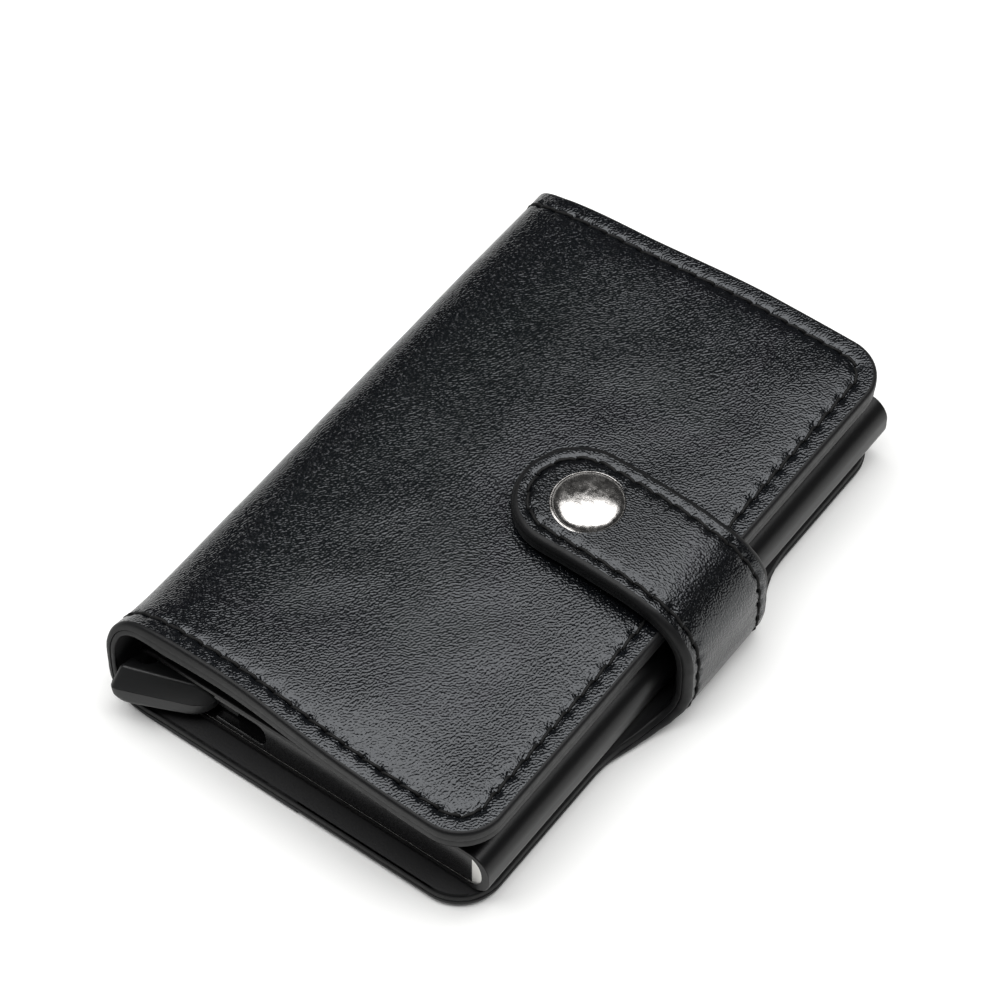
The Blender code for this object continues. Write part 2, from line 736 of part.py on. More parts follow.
# Strap's side: the upright part between the two folds
side_low = back_top + fold_gap
side_high = strap_bottom - fold_gap
strap_side_lining = block(
    "strap_side_lining",
    (strap_inner_x, strap_near_y, side_low),
    (strap_inner_x + strap_lining_thickness, strap_far_y, side_high),
)
place(strap_side_lining, lining_leather, strap_fold)
strap_side_cover = block(
    "strap_side_cover",
    (strap_cover_x, strap_near_y, side_low),
    (strap_outer_x, strap_far_y, side_high),
)
place(strap_side_cover, strap_leather, strap_fold)
side_thread_x = strap_outer_x + thread_lift
for name, y in (
    ("strap_stitching_near", strap_near_y + strap_stitch_inset),
    ("strap_stitching_far", strap_far_y - strap_stitch_inset),
):
    path = [(side_thread_x, y, side_low + thread_radius), (side_thread_x, y, side_high - thread_radius)]
    place(thread(name, path), black_thread, strap_fold)


# Strap's tip: the rounded end that lies over the flap
def strap_tip_outline(inset):
    """The rim of the strap's end, or a line drawn in from it."""
    half_width = strap_width / 2 - inset
    middle_x = strap_tip_x + strap_width / 2
    points = [Vector((strap_root_x, strap_offset + half_width))]
    for step in range(2 * side_steps + 1):
        angle = math.pi / 2 + math.pi * step / (2 * side_steps)
        points.append(Vector((middle_x + half_width * math.cos(angle), strap_offset + half_width * math.sin(angle))))
    points.append(Vector((strap_root_x, strap_offset - half_width)))
    return points


snap_hole = circle(snap_x, snap_y, snap_hole_radius)
strap_tip_lining = layer("strap_tip_lining", [strap_tip_outline(0), snap_hole], strap_bottom, strap_lining_thickness)
place(strap_tip_lining, lining_leather, strap_bend)
strap_tip_cover = layer("strap_tip_cover", [strap_tip_outline(0), snap_hole], strap_cover_z, cover_thickness)
place(strap_tip_cover, strap_leather, strap_bend)
tip_seam = [(point.x, point.y, strap_top + thread_lift) for point in strap_tip_outline(strap_stitch_inset)]
place(thread("strap_tip_stitching", tip_seam), black_thread, strap_bend)

# Snap's upper half, on the strap
socket_z = strap_bottom - glue_gap - socket_height
socket_profile = [
    (snap_hole_radius, socket_height),
    (socket_radius, socket_height),
    (socket_radius, 0),
    (socket_bore, 0),
    (socket_bore, socket_height - socket_plate),
    (snap_hole_radius, socket_height - socket_plate),
    (snap_hole_radius, socket_height),
]
place(turned("snap_socket", socket_profile, snap_x, snap_y, socket_z), plain_nickel, strap_bend)
cap_z = strap_top + glue_gap
stem_length = cap_z - socket_z - (socket_height - socket_plate)
dome_rise = snap_cap_height - snap_rim_height
cap_profile = [
    (
        snap_cap_radius * math.sin(math.pi / 2 * step / dome_steps),
        snap_rim_height + dome_rise * math.cos(math.pi / 2 * step / dome_steps),
    )
    for step in range(dome_steps + 1)
]
cap_profile += [
    (snap_cap_radius, 0),
    (snap_stem_radius, 0),
    (snap_stem_radius, -stem_length),
    (0, -stem_length),
]
place(turned("snap_cap", cap_profile, snap_x, snap_y, cap_z), dark_nickel, strap_bend)

for obj in parts.objects:
    if obj.type == "MESH":
        obj.data.shade_smooth()
        obj.data.set_sharp_from_angle(angle=math.radians(smooth_angle))
bpy.context.view_layer.update()
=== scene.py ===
import math

import bmesh
import bpy
import numpy as np
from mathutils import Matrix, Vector, noise
from mathutils.kdtree import KDTree


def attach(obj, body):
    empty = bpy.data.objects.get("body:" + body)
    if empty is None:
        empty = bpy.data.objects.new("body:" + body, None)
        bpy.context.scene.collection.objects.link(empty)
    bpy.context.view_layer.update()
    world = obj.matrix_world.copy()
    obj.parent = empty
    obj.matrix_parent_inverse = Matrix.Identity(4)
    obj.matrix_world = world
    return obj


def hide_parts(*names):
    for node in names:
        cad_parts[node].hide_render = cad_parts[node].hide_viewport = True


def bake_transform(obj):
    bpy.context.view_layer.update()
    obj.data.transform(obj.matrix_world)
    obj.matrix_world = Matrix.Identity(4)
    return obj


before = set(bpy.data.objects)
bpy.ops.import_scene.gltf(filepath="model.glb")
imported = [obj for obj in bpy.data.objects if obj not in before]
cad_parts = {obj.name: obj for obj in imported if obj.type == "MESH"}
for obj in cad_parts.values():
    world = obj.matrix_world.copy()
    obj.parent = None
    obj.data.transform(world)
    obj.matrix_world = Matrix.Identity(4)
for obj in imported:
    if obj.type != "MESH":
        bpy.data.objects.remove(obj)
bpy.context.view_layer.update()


# Camera: the wallet fills the middle of a square picture, seen from above its near right corner.
def placed(name, data):
    """A new object, put in the scene."""
    made = bpy.data.objects.new(name, data)
    bpy.context.scene.collection.objects.link(made)
    return made


camera = placed("camera", bpy.data.cameras.new("camera"))
bpy.context.scene.camera = camera
camera.data.sensor_width = 36
camera.data.lens = 144
camera.data.clip_start = 0.01
camera_azimuth = math.radians(36.484)
camera_elevation = math.radians(53.035)
camera_distance = 0.57684
looked_at = Vector((-0.00614, 0.00338, 0.008))
toward_camera = Vector((
    math.sin(camera_azimuth) * math.cos(camera_elevation),
    -math.cos(camera_azimuth) * math.cos(camera_elevation),
    math.sin(camera_elevation),
))
camera.location = looked_at + toward_camera * camera_distance
camera.rotation_euler = (math.pi / 2 - camera_elevation, 0, camera_azimuth)


# Studio table: a plain white sweep. What the camera sees of it is lifted a little, so that it stays
# white around the soft shadow.
def fill(tree, target, **values):
    """Sets a node's settings and sockets, and links a socket that is given another node's."""
    for key, value in values.items():
        socket = key.replace("_", " ")
        if socket not in target.inputs:
            setattr(target, key, value)
        elif isinstance(value, bpy.types.NodeSocket):
            tree.links.new(value, target.inputs[socket])
        else:
            target.inputs[socket].default_value = value


def node(tree, kind, **values):
    """A node with its settings and sockets filled in."""
    made = tree.nodes.new("ShaderNode" + kind)
    fill(tree, made, **values)
    return made


def maths(tree, operation, *values):
    """What a Math node makes of numbers and sockets."""
    made = node(tree, "Math", operation=operation)
    for socket, value in zip(made.inputs, values):
        if isinstance(value, bpy.types.NodeSocket):
            tree.links.new(value, socket)
        else:
            socket.default_value = value
    return made.outputs[0]


def shaped(name, points, faces, *materials):
    """A new object of points and faces, with its materials."""
    mesh = bpy.data.meshes.new(name)
    mesh.from_pydata(points, [], faces)
    for material in materials:
        mesh.materials.append(material)
    return placed(name, mesh)


half_table = 3.0
table_lift = 0.08
table_paint = bpy.data.materials.new("table_paint")
table_paint.use_nodes = True
tree = table_paint.node_tree
tree.nodes.clear()
matte = node(tree, "BsdfDiffuse", Color=(0.86, 0.86, 0.85, 1))
seen = node(tree, "LightPath").outputs["Is Camera Ray"]
lift = node(tree, "Emission", Strength=maths(tree, "MULTIPLY", seen, table_lift))
both = node(tree, "AddShader")
for order, shader in enumerate((matte, lift)):
    tree.links.new(shader.outputs[0], both.inputs[order])
node(tree, "OutputMaterial", Surface=both.outputs[0])
table_corners = [(x * half_table, y * half_table, 0) for x, y in ((-1, -1), (1, -1), (1, 1), (-1, 1))]
table = shaped("table", table_corners, [(0, 1, 2, 3)], table_paint)
table.location.z = -0.0001

# Studio light: one long softbox hung level over the table, its long side across the camera's view,
# and a dim room round it.
softbox = placed("softbox", bpy.data.lights.new("softbox", "AREA"))
softbox.data.shape = "RECTANGLE"
softbox.data.size = 1.6
softbox.data.size_y = 0.86
softbox.data.energy = 18.5
softbox_height = 0.9
softbox_behind = 0.06
away = Vector((-math.sin(camera_azimuth), math.cos(camera_azimuth), 0))
softbox.location = away * softbox_behind + Vector((0, 0, softbox_height))
softbox.rotation_euler = (0, 0, camera_azimuth)
room = bpy.data.worlds.new("room")
bpy.context.scene.world = room
room.use_nodes = True
room.node_tree.nodes["Background"].inputs["Color"].default_value = (1, 1, 1, 1)
room.node_tree.nodes["Background"].inputs["Strength"].default_value = 0.05
bpy.context.scene.view_settings.view_transform = "Standard"

# Grained leather: a black split with a pressed pebble grain, glazed with a thin satin topcoat that
# wears on the high spots. Its colour is lighter on the high spots: partly the worn topcoat, partly
# painted shade in the grain's hollows. Its grain lies in the sheet, so it goes round the bends with it.
MM = 0.001
grain_units = 0.01
grain_wander = 28
fold_kinds = ((10.5, 2.2, 0.55, 0.28), (5.0, 2.8, 0.88, 0.24))
pebble_scale, pebble_share = 26.0, -1.6
grain_depth = 0.000038
worn_gloss, fresh_gloss = -0.03, 0.07


def new_look(name):
    """A material with its Principled shader and its node tree."""
    material = bpy.data.materials.new(name)
    material.use_nodes = True
    return material, material.node_tree.nodes["Principled BSDF"], material.node_tree


def sheet_place(tree):
    """The place on the flat sheet, which the grain follows."""
    return node(tree, "UVMap", uv_map="sheet").outputs["UV"]


def bumped(tree, shader, height, strength, distance):
    """Gives a surface small bumps that follow a pattern."""
    bump = node(tree, "Bump", Height=height, Strength=strength, Distance=distance)
    fill(tree, shader, Normal=bump.outputs["Normal"])


def glossed(tree, shader, pattern, low, high, start=0.0, end=1.0):
    """Makes a surface's roughness go from low to high with a pattern."""
    gloss = node(tree, "MapRange", Value=pattern, From_Min=start, From_Max=end, To_Min=low, To_Max=high)
    fill(tree, shader, Roughness=gloss.outputs["Result"])


def leather_look(name, colour, high_spot_colour, roughness, direction, fineness=1.0):
    """Glazed leather: small pebbles, fine ridges whose run wanders over the sheet, and creases in patches."""
    material, shader, tree = new_look(name)
    place = sheet_place(tree)
    run = node(
        tree, "MapRange", Value=node(tree, "TexNoise", Vector=place, Scale=0.42, Detail=1.0).outputs["Fac"],
        From_Min=0.25, From_Max=0.75,
        To_Min=math.radians(direction - grain_wander), To_Max=math.radians(direction + grain_wander),
    )
    waves = []
    for scale, frequency, run_length, share in fold_kinds:
        folds = node(
            tree, "TexGabor", Vector=place, Scale=scale * fineness, Frequency=frequency,
            Anisotropy=run_length, Orientation=run.outputs["Result"],
        )
        turn = maths(tree, "MULTIPLY", folds.outputs["Phase"], 2 * math.pi)
        waves.append(maths(tree, "MULTIPLY", maths(tree, "COSINE", turn), share))
    where = node(tree, "TexNoise", Vector=place, Scale=0.9, Detail=2.0)
    patches = node(tree, "MapRange", Value=where.outputs["Fac"], From_Min=0.42, From_Max=0.62)
    height = maths(tree, "MULTIPLY_ADD", waves[1], patches.outputs["Result"], waves[0])
    pebbles = node(
        tree, "TexVoronoi", feature="SMOOTH_F1", Vector=place, Scale=pebble_scale * fineness,
        Smoothness=0.3, Randomness=1.0,
    )
    relief = maths(tree, "MULTIPLY_ADD", pebbles.outputs["Distance"], pebble_share, height)
    bumped(tree, shader, relief, 1.0, grain_depth)
    # Painted shade: the grain's hollows get the darker colour and the high spots the lighter one, which is
    # partly the worn topcoat.
    wear_and_hollow_shade = node(tree, "MapRange", Value=relief, From_Min=-1.2, From_Max=0.1).outputs["Result"]
    tint = node(tree, "Mix", data_type="RGBA", Factor=wear_and_hollow_shade, A=(*colour, 1), B=(*high_spot_colour, 1))
    glossed(tree, shader, wear_and_hollow_shade, roughness + fresh_gloss, roughness + worn_gloss)
    fill(tree, shader, Base_Color=tint.outputs["Result"], Specular_Tint=(0.93, 0.96, 1.0, 1))
    return material


def plain_look(
    name, colour, gloss, scale, bump=None, metallic=0.0, specular=0.5, detail=4.0, break_up=0.6, stretch=None,
):
    """A finish whose gloss and surface vary a little in one pattern."""
    material, shader, tree = new_look(name)
    fill(tree, shader, Base_Color=(*colour, 1), Metallic=metallic, Specular_IOR_Level=specular)
    place = node(tree, "TexCoord").outputs["Object"]
    if stretch:
        place = node(tree, "Mapping", Vector=place, Scale=stretch).outputs["Vector"]
    specks = node(tree, "TexNoise", Vector=place, Scale=scale, Detail=detail, Roughness=break_up)
    glossed(tree, shader, specks.outputs["Fac"], *gloss)
    if bump:
        bumped(tree, shader, specks.outputs["Fac"], *bump)
    return material


def dull_look(name, dark, light, roughness, specular, bump, on_sheet, **pattern):
    """A dull finish whose shade and surface vary a little in one pattern."""
    material, shader, tree = new_look(name)
    place = sheet_place(tree) if on_sheet else node(tree, "TexCoord").outputs["Object"]
    specks = node(tree, "TexNoise", Vector=place, **pattern).outputs["Fac"]
    bumped(tree, shader, specks, *bump)
    shade = node(tree, "ValToRGB", Fac=specks)
    shade.color_ramp.elements[0].color = (*dark, 1)
    shade.color_ramp.elements[1].color = (*light, 1)
    fill(tree, shader, Base_Color=shade.outputs["Color"], Roughness=roughness, Specular_IOR_Level=specular)
    return material


flap_leather = leather_look("flap_leather", (0.0015, 0.0018, 0.0024), (0.004, 0.0048, 0.0064), 0.17, -32)
strap_leather = leather_look(
    "strap_leather_fine", (0.0015, 0.0017, 0.0021), (0.004, 0.0045, 0.0056), 0.18, 80, fineness=1.1
)

# Edge paint and lining: several rubbed coats of satin black over the cut edges, and a thin smooth
# leather, dull, with a fine matte grain, glued to the inside.
edge_paint = plain_look(
    "edge_paint", (0.006, 0.0062, 0.0066), (0.38, 0.55), 900, (0.25, 0.0001), specular=0.2, detail=3.0,
    break_up=0.5,
)
lining = dull_look(
    "lining_leather_fine", (0.004, 0.004, 0.0045), (0.010, 0.010, 0.011), 0.62, 0.5, (0.5, 0.0001), True,
    Scale=30.0, Detail=4.0, Roughness=0.65,
)

# Shape of the wallet: the leather goes from under the case round the spine and over the front, and
# on the other side from the back up round the strap. Each piece follows a section of its outer face,
# whose corners are given in mm, as x and z.
near_y = -52.3 * MM
far_y = 49.9 * MM
sheet_spacing = 0.45 * MM
edge_round = 0.6 * MM
strap_round = 1.0 * MM
glued_round = 0.08 * MM
cover_share = 0.52
lining_gap = 0.04 * MM
lining_spacing = 1.0 * MM
lining_round, lining_inset, hidden_round = 0.12 * MM, 0.2 * MM, 0.4 * MM
curve_steps, section_count, corner_steps, seam_turns = 40, 400, 15, 24
seam_step = 0.1 * MM


def way_along(points):
    """How far along a line each of its points is."""
    return np.concatenate([[0], np.cumsum(np.linalg.norm(np.diff(points, axis=0), axis=1))])


def unit(vectors):
    """The same directions, each of length one."""
    return vectors / np.maximum(np.linalg.norm(vectors, axis=-1, keepdims=True), 1e-12)


def evened(line, count):
    """Points an even way apart along a line."""
    way = way_along(line)
    even = np.linspace(0, way[-1], count)
    return np.stack([np.interp(even, way, line[:, k]) for k in (0, 1)], axis=1)


def even_line(points, spacing):
    """The same line again, with points about this far apart."""
    points = np.array(points)
    return evened(points, int(way_along(points)[-1] / spacing))


def section(corners):
    """Points an even way apart along a smooth line through the corners, and the line's length."""
    points = np.array(corners, float) * MM
    ends = np.vstack([2 * points[0] - points[1], points, 2 * points[-1] - points[-2]])
    t = np.linspace(0, 1, curve_steps, endpoint=False)[:, None]
    line = np.vstack([
        0.5 * (2 * b + (c - a) * t + (2 * a - 5 * b + 4 * c - d) * t ** 2 + (3 * b - a - 3 * c + d) * t ** 3)
        for a, b, c, d in zip(ends[:-3], ends[1:-2], ends[2:-1], ends[3:])
    ] + [points[-1:]])
    return evened(line, section_count), way_along(line)[-1]


def even_share(s, y):
    """How far a place has gone from the wallet's near side to its far side."""
    return np.clip((y - near_y) / (far_y - near_y), 0, 1)


class Sheet:
    """The outer face of a bent sheet of leather: s runs along its section, y along the wallet."""

    def __init__(self, near_corners, far_corners, side, thickness, drift=None, share=even_share):
        self.near, near_length = section(near_corners)
        self.far, far_length = section(far_corners)
        self.length = (near_length + far_length) / 2
        self.side = side
        self.steps = np.linspace(0, self.length, len(self.near))
        self.thickness_at, self.thickness_is = (np.array(values) * MM for values in zip(*thickness))
        self.drift, self.share = drift, share

    def point(self, s, y):
        """Places on the sheet's outer face."""
        share = self.share(s, y)
        x, z = (
            (1 - share) * np.interp(s, self.steps, near) + share * np.interp(s, self.steps, far)
            for near, far in zip(self.near.T, self.far.T)
        )
        return np.stack([x, self.drift(s, y) if self.drift else y, z], axis=-1)

    def thickness(self, s):
        """How thick the leather is, cover and lining together."""
        return np.interp(s, self.thickness_at, self.thickness_is)

    def frame(self, s, y):
        """The sheet's two directions and its outward normal."""
        step = 0.4 * MM
        low, high = np.clip(s - step, 0, self.length), np.clip(s + step, 0, self.length)
        along = unit(self.point(high, y) - self.point(low, y))
        across = unit(self.point(s, y + step) - self.point(s, y - step))
        return along, across, unit(np.cross(along, across) * self.side)

    def raised(self, s, y, height):
        """Places above the outer face, or below it where the height is negative."""
        return self.point(s, y) + self.frame(s, y)[2] * np.asarray(height)[..., None]


def seam_field(seam, grid):
    """How far each place is from the seam, positive inside it, and how far along the seam it lies."""
    tree = KDTree(len(seam))
    for index, (a, b) in enumerate(seam):
        tree.insert((a, b, 0), index)
    tree.balance()
    nearest = np.array([tree.find((a, b, 0))[1] for a, b in zip(grid.s, grid.y)])
    ahead = unit(np.gradient(seam, axis=0)[nearest])
    apart_s, apart_y = grid.s - seam[nearest, 0], grid.y - seam[nearest, 1]
    inside = ahead[:, 0] * apart_y - ahead[:, 1] * apart_s
    along = way_along(seam)[nearest] + ahead[:, 0] * apart_s + ahead[:, 1] * apart_y
    return np.copysign(np.hypot(apart_s, apart_y), inside), along


def rounded_seam(s_end, y_low, y_high, radius):
    """A seam that goes out along the near edge, across, and back along the far edge."""
    turn = np.linspace(0, math.pi / 2, seam_turns)
    points = [(0, y_low)]
    points += [(s_end - radius + radius * math.sin(a), y_low + radius - radius * math.cos(a)) for a in turn]
    points += [(s_end - radius + radius * math.cos(a), y_high - radius + radius * math.sin(a)) for a in turn]
    return even_line(points + [(0, y_high)], seam_step)


class Grid:
    """Places on a sheet joined by four-sided faces, and its rim in order, with the cut sides marked."""

    def __init__(self, s, y, faces, rim, cut):
        self.s, self.y, self.faces, self.rim, self.cut = s, y, faces, rim, cut


def squares(index):
    """The faces between the rows and columns of an index table."""
    a, b, c, d = index[:-1, :-1], index[1:, :-1], index[1:, 1:], index[:-1, 1:]
    return np.stack([part.reshape(-1) for part in (a, b, c, d)], axis=1)


def plain_grid(s, y, open_start, open_end):
    """A grid of rows and columns whose start and end may be cut sides."""
    index = np.arange(s.size).reshape(s.shape)
    rows = s.shape[1]
    rim = np.concatenate([index[:, 0], index[-1, 1:], index[-2::-1, -1], index[0, -2:0:-1]])
    cut = np.zeros(len(rim), bool)
    cut[len(s):len(s) + rows - 2] = open_end
    cut[len(rim) - (rows - 2):] = open_start
    return Grid(s.reshape(-1), y.reshape(-1).copy(), squares(index), rim, cut)


def corner_rows(radius):
    """How far in from the edge the rows round a corner lie."""
    return radius * (1 - np.cos(np.linspace(0, math.pi / 2, corner_steps)[:-1]))


def row_ends(rows, s_end, y_low, y_high, radius):
    """Where each row ends, so that the end's two corners are round."""
    inside = np.clip(np.maximum(y_low + radius - rows, rows - (y_high - radius)), 0, radius)
    return s_end - radius + np.sqrt(np.maximum(radius ** 2 - inside ** 2, 0))


def panel_grid(s_start, s_end, y_low, y_high, radius, spacing, open_start=True):
    """A panel cut off square at its start and rounded at both corners of its end."""
    count = max(int((y_high - y_low - 2 * radius) / spacing), 2)
    rows = np.concatenate([
        y_low + corner_rows(radius),
        np.linspace(y_low + radius, y_high - radius, count),
        (y_high - corner_rows(radius))[::-1],
    ])
    ends = row_ends(rows, s_end, y_low, y_high, radius)
    share = np.linspace(0, 1, int((s_end - s_start) / spacing))
    s = s_start + share[:, None] * (ends - s_start)[None, :]
    return plain_grid(s, np.broadcast_to(rows, s.shape), open_start, False)


def bent(piece):
    """Bakes the piece's placement into its mesh."""
    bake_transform(piece)


def sheet_mesh(name, sheet, grid, top_heights, bottom_heights, top_round, bottom_round, materials):
    """A closed piece between two heights over a sheet, with rounded edges."""
    s, y, rim, cut = grid.s, grid.y, grid.rim, grid.cut
    rim_s, rim_y = s[rim], y[rim]
    ahead = unit(np.stack([np.roll(rim_s, -1) - rim_s, np.roll(rim_y, -1) - rim_y], axis=1))
    behind = np.roll(ahead, 1, axis=0)
    ahead_cut, behind_cut = np.roll(cut, -1) & ~cut, np.roll(cut, 1) & ~cut
    ahead[ahead_cut] = behind[ahead_cut]
    behind[behind_cut] = ahead[behind_cut]
    sum_of_both = ahead + behind
    outward = unit(np.stack([sum_of_both[:, 1], -sum_of_both[:, 0]], axis=1))
    outward[cut] = 0
    along, across, normal = sheet.frame(rim_s, rim_y)
    out = along * outward[:, :1] + across * outward[:, 1:]
    base = sheet.point(rim_s, rim_y)
    high, low = top_heights[rim], bottom_heights[rim]
    rings = [
        (top_round * math.sin(angle), high - top_round * (1 - math.cos(angle)))
        for angle in np.linspace(0, math.pi / 2, 6)[1:]
    ] + [
        (top_round - bottom_round * (1 - math.cos(angle)), low + bottom_round * (1 - math.sin(angle)))
        for angle in np.linspace(0, math.pi / 2, 5)
    ]
    ring_points = [base + out * reach + normal * height[:, None] for reach, height in rings]
    points = np.vstack([sheet.raised(s, y, top_heights), *ring_points, sheet.raised(s, y, bottom_heights)])
    below = len(s) + len(rings) * len(rim)
    ring_loops = [len(s) + step * len(rim) + np.arange(len(rim)) for step in range(len(rings))]
    loops = [rim, *ring_loops, below + rim]
    faces = [grid.faces, below + grid.faces[:, ::-1]]
    for upper, lower in zip(loops[:-1], loops[1:]):
        faces.append(np.stack([upper, lower, np.roll(lower, -1), np.roll(upper, -1)], axis=1))
    slots = np.repeat([0, 2] + [1] * (len(faces) - 2), [len(part) for part in faces])
    faces = np.vstack(faces)
    if sheet.side < 0:
        faces = faces[:, ::-1]
    piece = shaped(name, points.tolist(), faces.tolist(), *materials)
    mesh = piece.data
    mesh.polygons.foreach_set("material_index", slots.astype(np.int32))
    flat_s = np.concatenate([s, *(rim_s + outward[:, 0] * reach for reach, _ in rings), s])
    flat_y = np.concatenate([y, *(rim_y + outward[:, 1] * reach for reach, _ in rings), y])
    corner = np.empty(len(mesh.loops), np.int32)
    mesh.loops.foreach_get("vertex_index", corner)
    places = np.stack([flat_s[corner], flat_y[corner]], axis=1) / grain_units
    mesh.uv_layers.new(name="sheet").uv.foreach_set("vector", places.astype(np.float32).reshape(-1))
    mesh.shade_smooth()
    mesh.set_sharp_from_angle(angle=math.radians(60))
    bent(piece)
    return piece


def cover(name, sheet, grid, tops, top_round, leather):
    """The outer leather, from its face down to the glue line."""
    glue = -sheet.thickness(grid.s) * cover_share
    materials = (leather, edge_paint, lining)
    return sheet_mesh(name, sheet, grid, tops, glue, top_round, glued_round, materials)


def inner(name, sheet, grid):
    """The lining, from the glue line inward. Its edge is painted with the cover's."""
    depth = sheet.thickness(grid.s)
    glue = -depth * cover_share - lining_gap
    materials = (lining, edge_paint, lining)
    return sheet_mesh(name, sheet, grid, glue, -depth, lining_round, hidden_round, materials)


# Seams: bonded black polyester thread of two twisted plies, a little dusty in fine specks, drawn
# down into a groove in the leather, with a dimple at each hole.
thread = dull_look(
    "bonded_thread", (0.002, 0.002, 0.002), (0.006, 0.006, 0.006), 0.7, 0.25, (0.4, 0.00005), False,
    Scale=5000.0, Detail=2.0,
)
stitch_pitch = 3.2 * MM
groove_depth, groove_width = 0.26 * MM, 0.34 * MM
hole_depth, hole_length, hole_width = 0.36 * MM, 0.65 * MM, 0.6 * MM
ripple_height, ripple_off = 0.02 * MM, 0.9 * MM
thread_radius, thread_rise = 0.24 * MM, 0.6
stitch_slant, stitch_dive = 0.16 * MM, 0.55 * MM
ply_bulge, ply_twist = 0.16, 7.0
stitch_rings, stitch_sides = 11, 8
stitch_start, stitch_stop = 0.03, 0.97


def stitched(off, along, pitch, puff, puff_run, crown, border):
    """Height of the leather round a seam: a groove with a dimple at each hole, swelling on both sides."""
    inside = np.clip(off, 0, None)
    outside = np.clip(-off, 0, border)
    height = puff * (1 - np.exp(-inside / puff_run)) + crown * np.sin(np.pi * outside / border)
    height = height - groove_depth * np.exp(-(off / groove_width) ** 2)
    hole = np.exp(-((along / pitch - np.round(along / pitch)) * pitch / hole_length) ** 2)
    height = height - hole_depth * hole * np.exp(-(off / hole_width) ** 2)
    beside = np.exp(-(np.abs(off) - ripple_off) ** 2 / ripple_off ** 2)
    return height - ripple_height * np.cos(2 * np.pi * along / pitch) * beside


def seam_pitch(seam):
    """The length of one stitch, so that a whole number of them fills the seam."""
    length = np.linalg.norm(np.diff(seam, axis=0), axis=1).sum()
    return length / round(length / stitch_pitch)


def sewn_heights(grid, seams, puff, run, crown, border):
    """Heights of a sheet with several seams: each place follows the seam nearest to it."""
    nearest = None
    for seam in seams:
        off, along = seam_field(seam, grid)
        height = stitched(off, along, seam_pitch(seam), puff, run, crown, border)
        if nearest is None:
            nearest, best = off, height
        else:
            closer = np.abs(off) < np.abs(nearest)
            nearest, best = np.where(closer, off, nearest), np.where(closer, height, best)
    return best


def sewn(name, fold, sheet, seams, *nodes):
    """A piece's stitches: each is a short twisted thread that dives into its holes."""
    points, faces = [], []
    rings, sides = stitch_rings, stitch_sides
    share = np.linspace(stitch_start, stitch_stop, rings)
    for seam in seams:
        way = way_along(seam)
        pitch = seam_pitch(seam)
        ahead_of_all = unit(np.gradient(seam, axis=0))
        for stitch in range(int(round(way[-1] / pitch))):
            at = (stitch + share) * pitch
            s, y, ahead_s, ahead_y = (np.interp(at, way, values) for values in (*seam.T, *ahead_of_all.T))
            slant = stitch_slant * (share - 0.5) * 2
            s, y = s - ahead_y * slant, y + ahead_s * slant
            dive = stitch_dive * (np.abs(share - 0.5) * 2) ** 5
            normal = sheet.frame(s, y)[2]
            centre = sheet.point(s, y) + normal * (thread_radius * thread_rise - groove_depth - dive)[:, None]
            forward = unit(np.gradient(centre, axis=0))
            side = unit(np.cross(forward, normal))
            up = np.cross(side, forward)
            first = len(points)
            for ring in range(rings):
                for corner in range(sides):
                    angle = 2 * math.pi * corner / sides
                    ply = thread_radius * (1 + ply_bulge * math.cos(2 * (angle - share[ring] * ply_twist)))
                    outward = side[ring] * math.cos(angle) + up[ring] * math.sin(angle)
                    points.append(centre[ring] + ply * outward)
            for ring in range(rings - 1):
                for corner in range(sides):
                    a = first + ring * sides + corner
                    b = first + ring * sides + (corner + 1) % sides
                    faces.append((a, a + sides, b + sides, b))
            faces.append(tuple(first + corner for corner in range(sides)))
            faces.append(tuple(first + (rings - 1) * sides + corner for corner in reversed(range(sides))))
    piece = shaped(name, [tuple(point) for point in points], faces, thread)
    piece.data.shade_smooth()
    bent(piece)
    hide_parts(*nodes)


# Front flap: grained leather over thin foam, from the middle of the spine round to the free edge.
# It swells from the spine to its middle, and springs up a little at the near end of the spine.
spring_length = 6.5 * MM
panel_inset = 3.05 * MM
panel_corner = 7.0 * MM
flap_puff, flap_puff_run, flap_crown = 0.7 * MM, 3.6 * MM, 0.03 * MM
wave_height, wave_start = 0.25 * MM, 5 * MM
flap_fold = (("spine", "flap"), (-33.6, 11.0), (-24.0, 21.5))


def smooth(value, low, high):
    """0 below low, 1 above high, and an even slope's start and end between."""
    share = np.clip((value - low) / (high - low), 0, 1)
    return share * share * (3 - 2 * share)


def flap_share(s, y):
    """How far a place has gone to the far section: quickly by the spine, evenly by the free edge."""
    quick = 1 - np.exp(-np.clip(y - near_y, 0, None) / spring_length)
    return quick + (even_share(s, y) - quick) * smooth(s, 38 * MM, 62 * MM)


def flap_waist(s, y):
    """The panel is a little shorter beside the spine than across its middle."""
    waist = 0.026 * smooth(s, 2 * MM, 13 * MM) * (1 - smooth(s, 26 * MM, 50 * MM))
    middle = (near_y + far_y) / 2
    return middle + (y - middle) * (1 - waist)


near_flap_section = [
    (-33.4, 9.0), (-33.4, 11.4), (-33.25, 13.8), (-32.4, 16.6), (-30.5, 18.9), (-27.2, 20.4), (-22.0, 21.0),
    (-14.7, 21.0), (-7.2, 20.8), (-2.0, 20.5), (4.0, 20.1), (10.0, 19.5), (18.5, 18.9), (30.3, 18.7),
]
far_flap_section = [
    (-33.4, 9.0), (-33.4, 11.0), (-33.05, 13.3), (-31.9, 15.7), (-29.8, 17.35), (-27.0, 18.35),
    (-24.0, 18.95), (-20.5, 19.4), (-15.5, 19.8), (-10.0, 20.08), (-3.9, 20.22), (6.8, 20.2), (17.3, 20.2),
    (24.3, 20.1), (30.5, 19.9),
]
flap_sheet = Sheet(
    near_flap_section, far_flap_section, side=1, thickness=[(0, 1.6), (8, 1.9), (18, 3.3), (80, 3.5)],
    drift=flap_waist, share=flap_share,
)
flap_seam = rounded_seam(
    flap_sheet.length - panel_inset, near_y + panel_inset, far_y - panel_inset, panel_corner - panel_inset
)


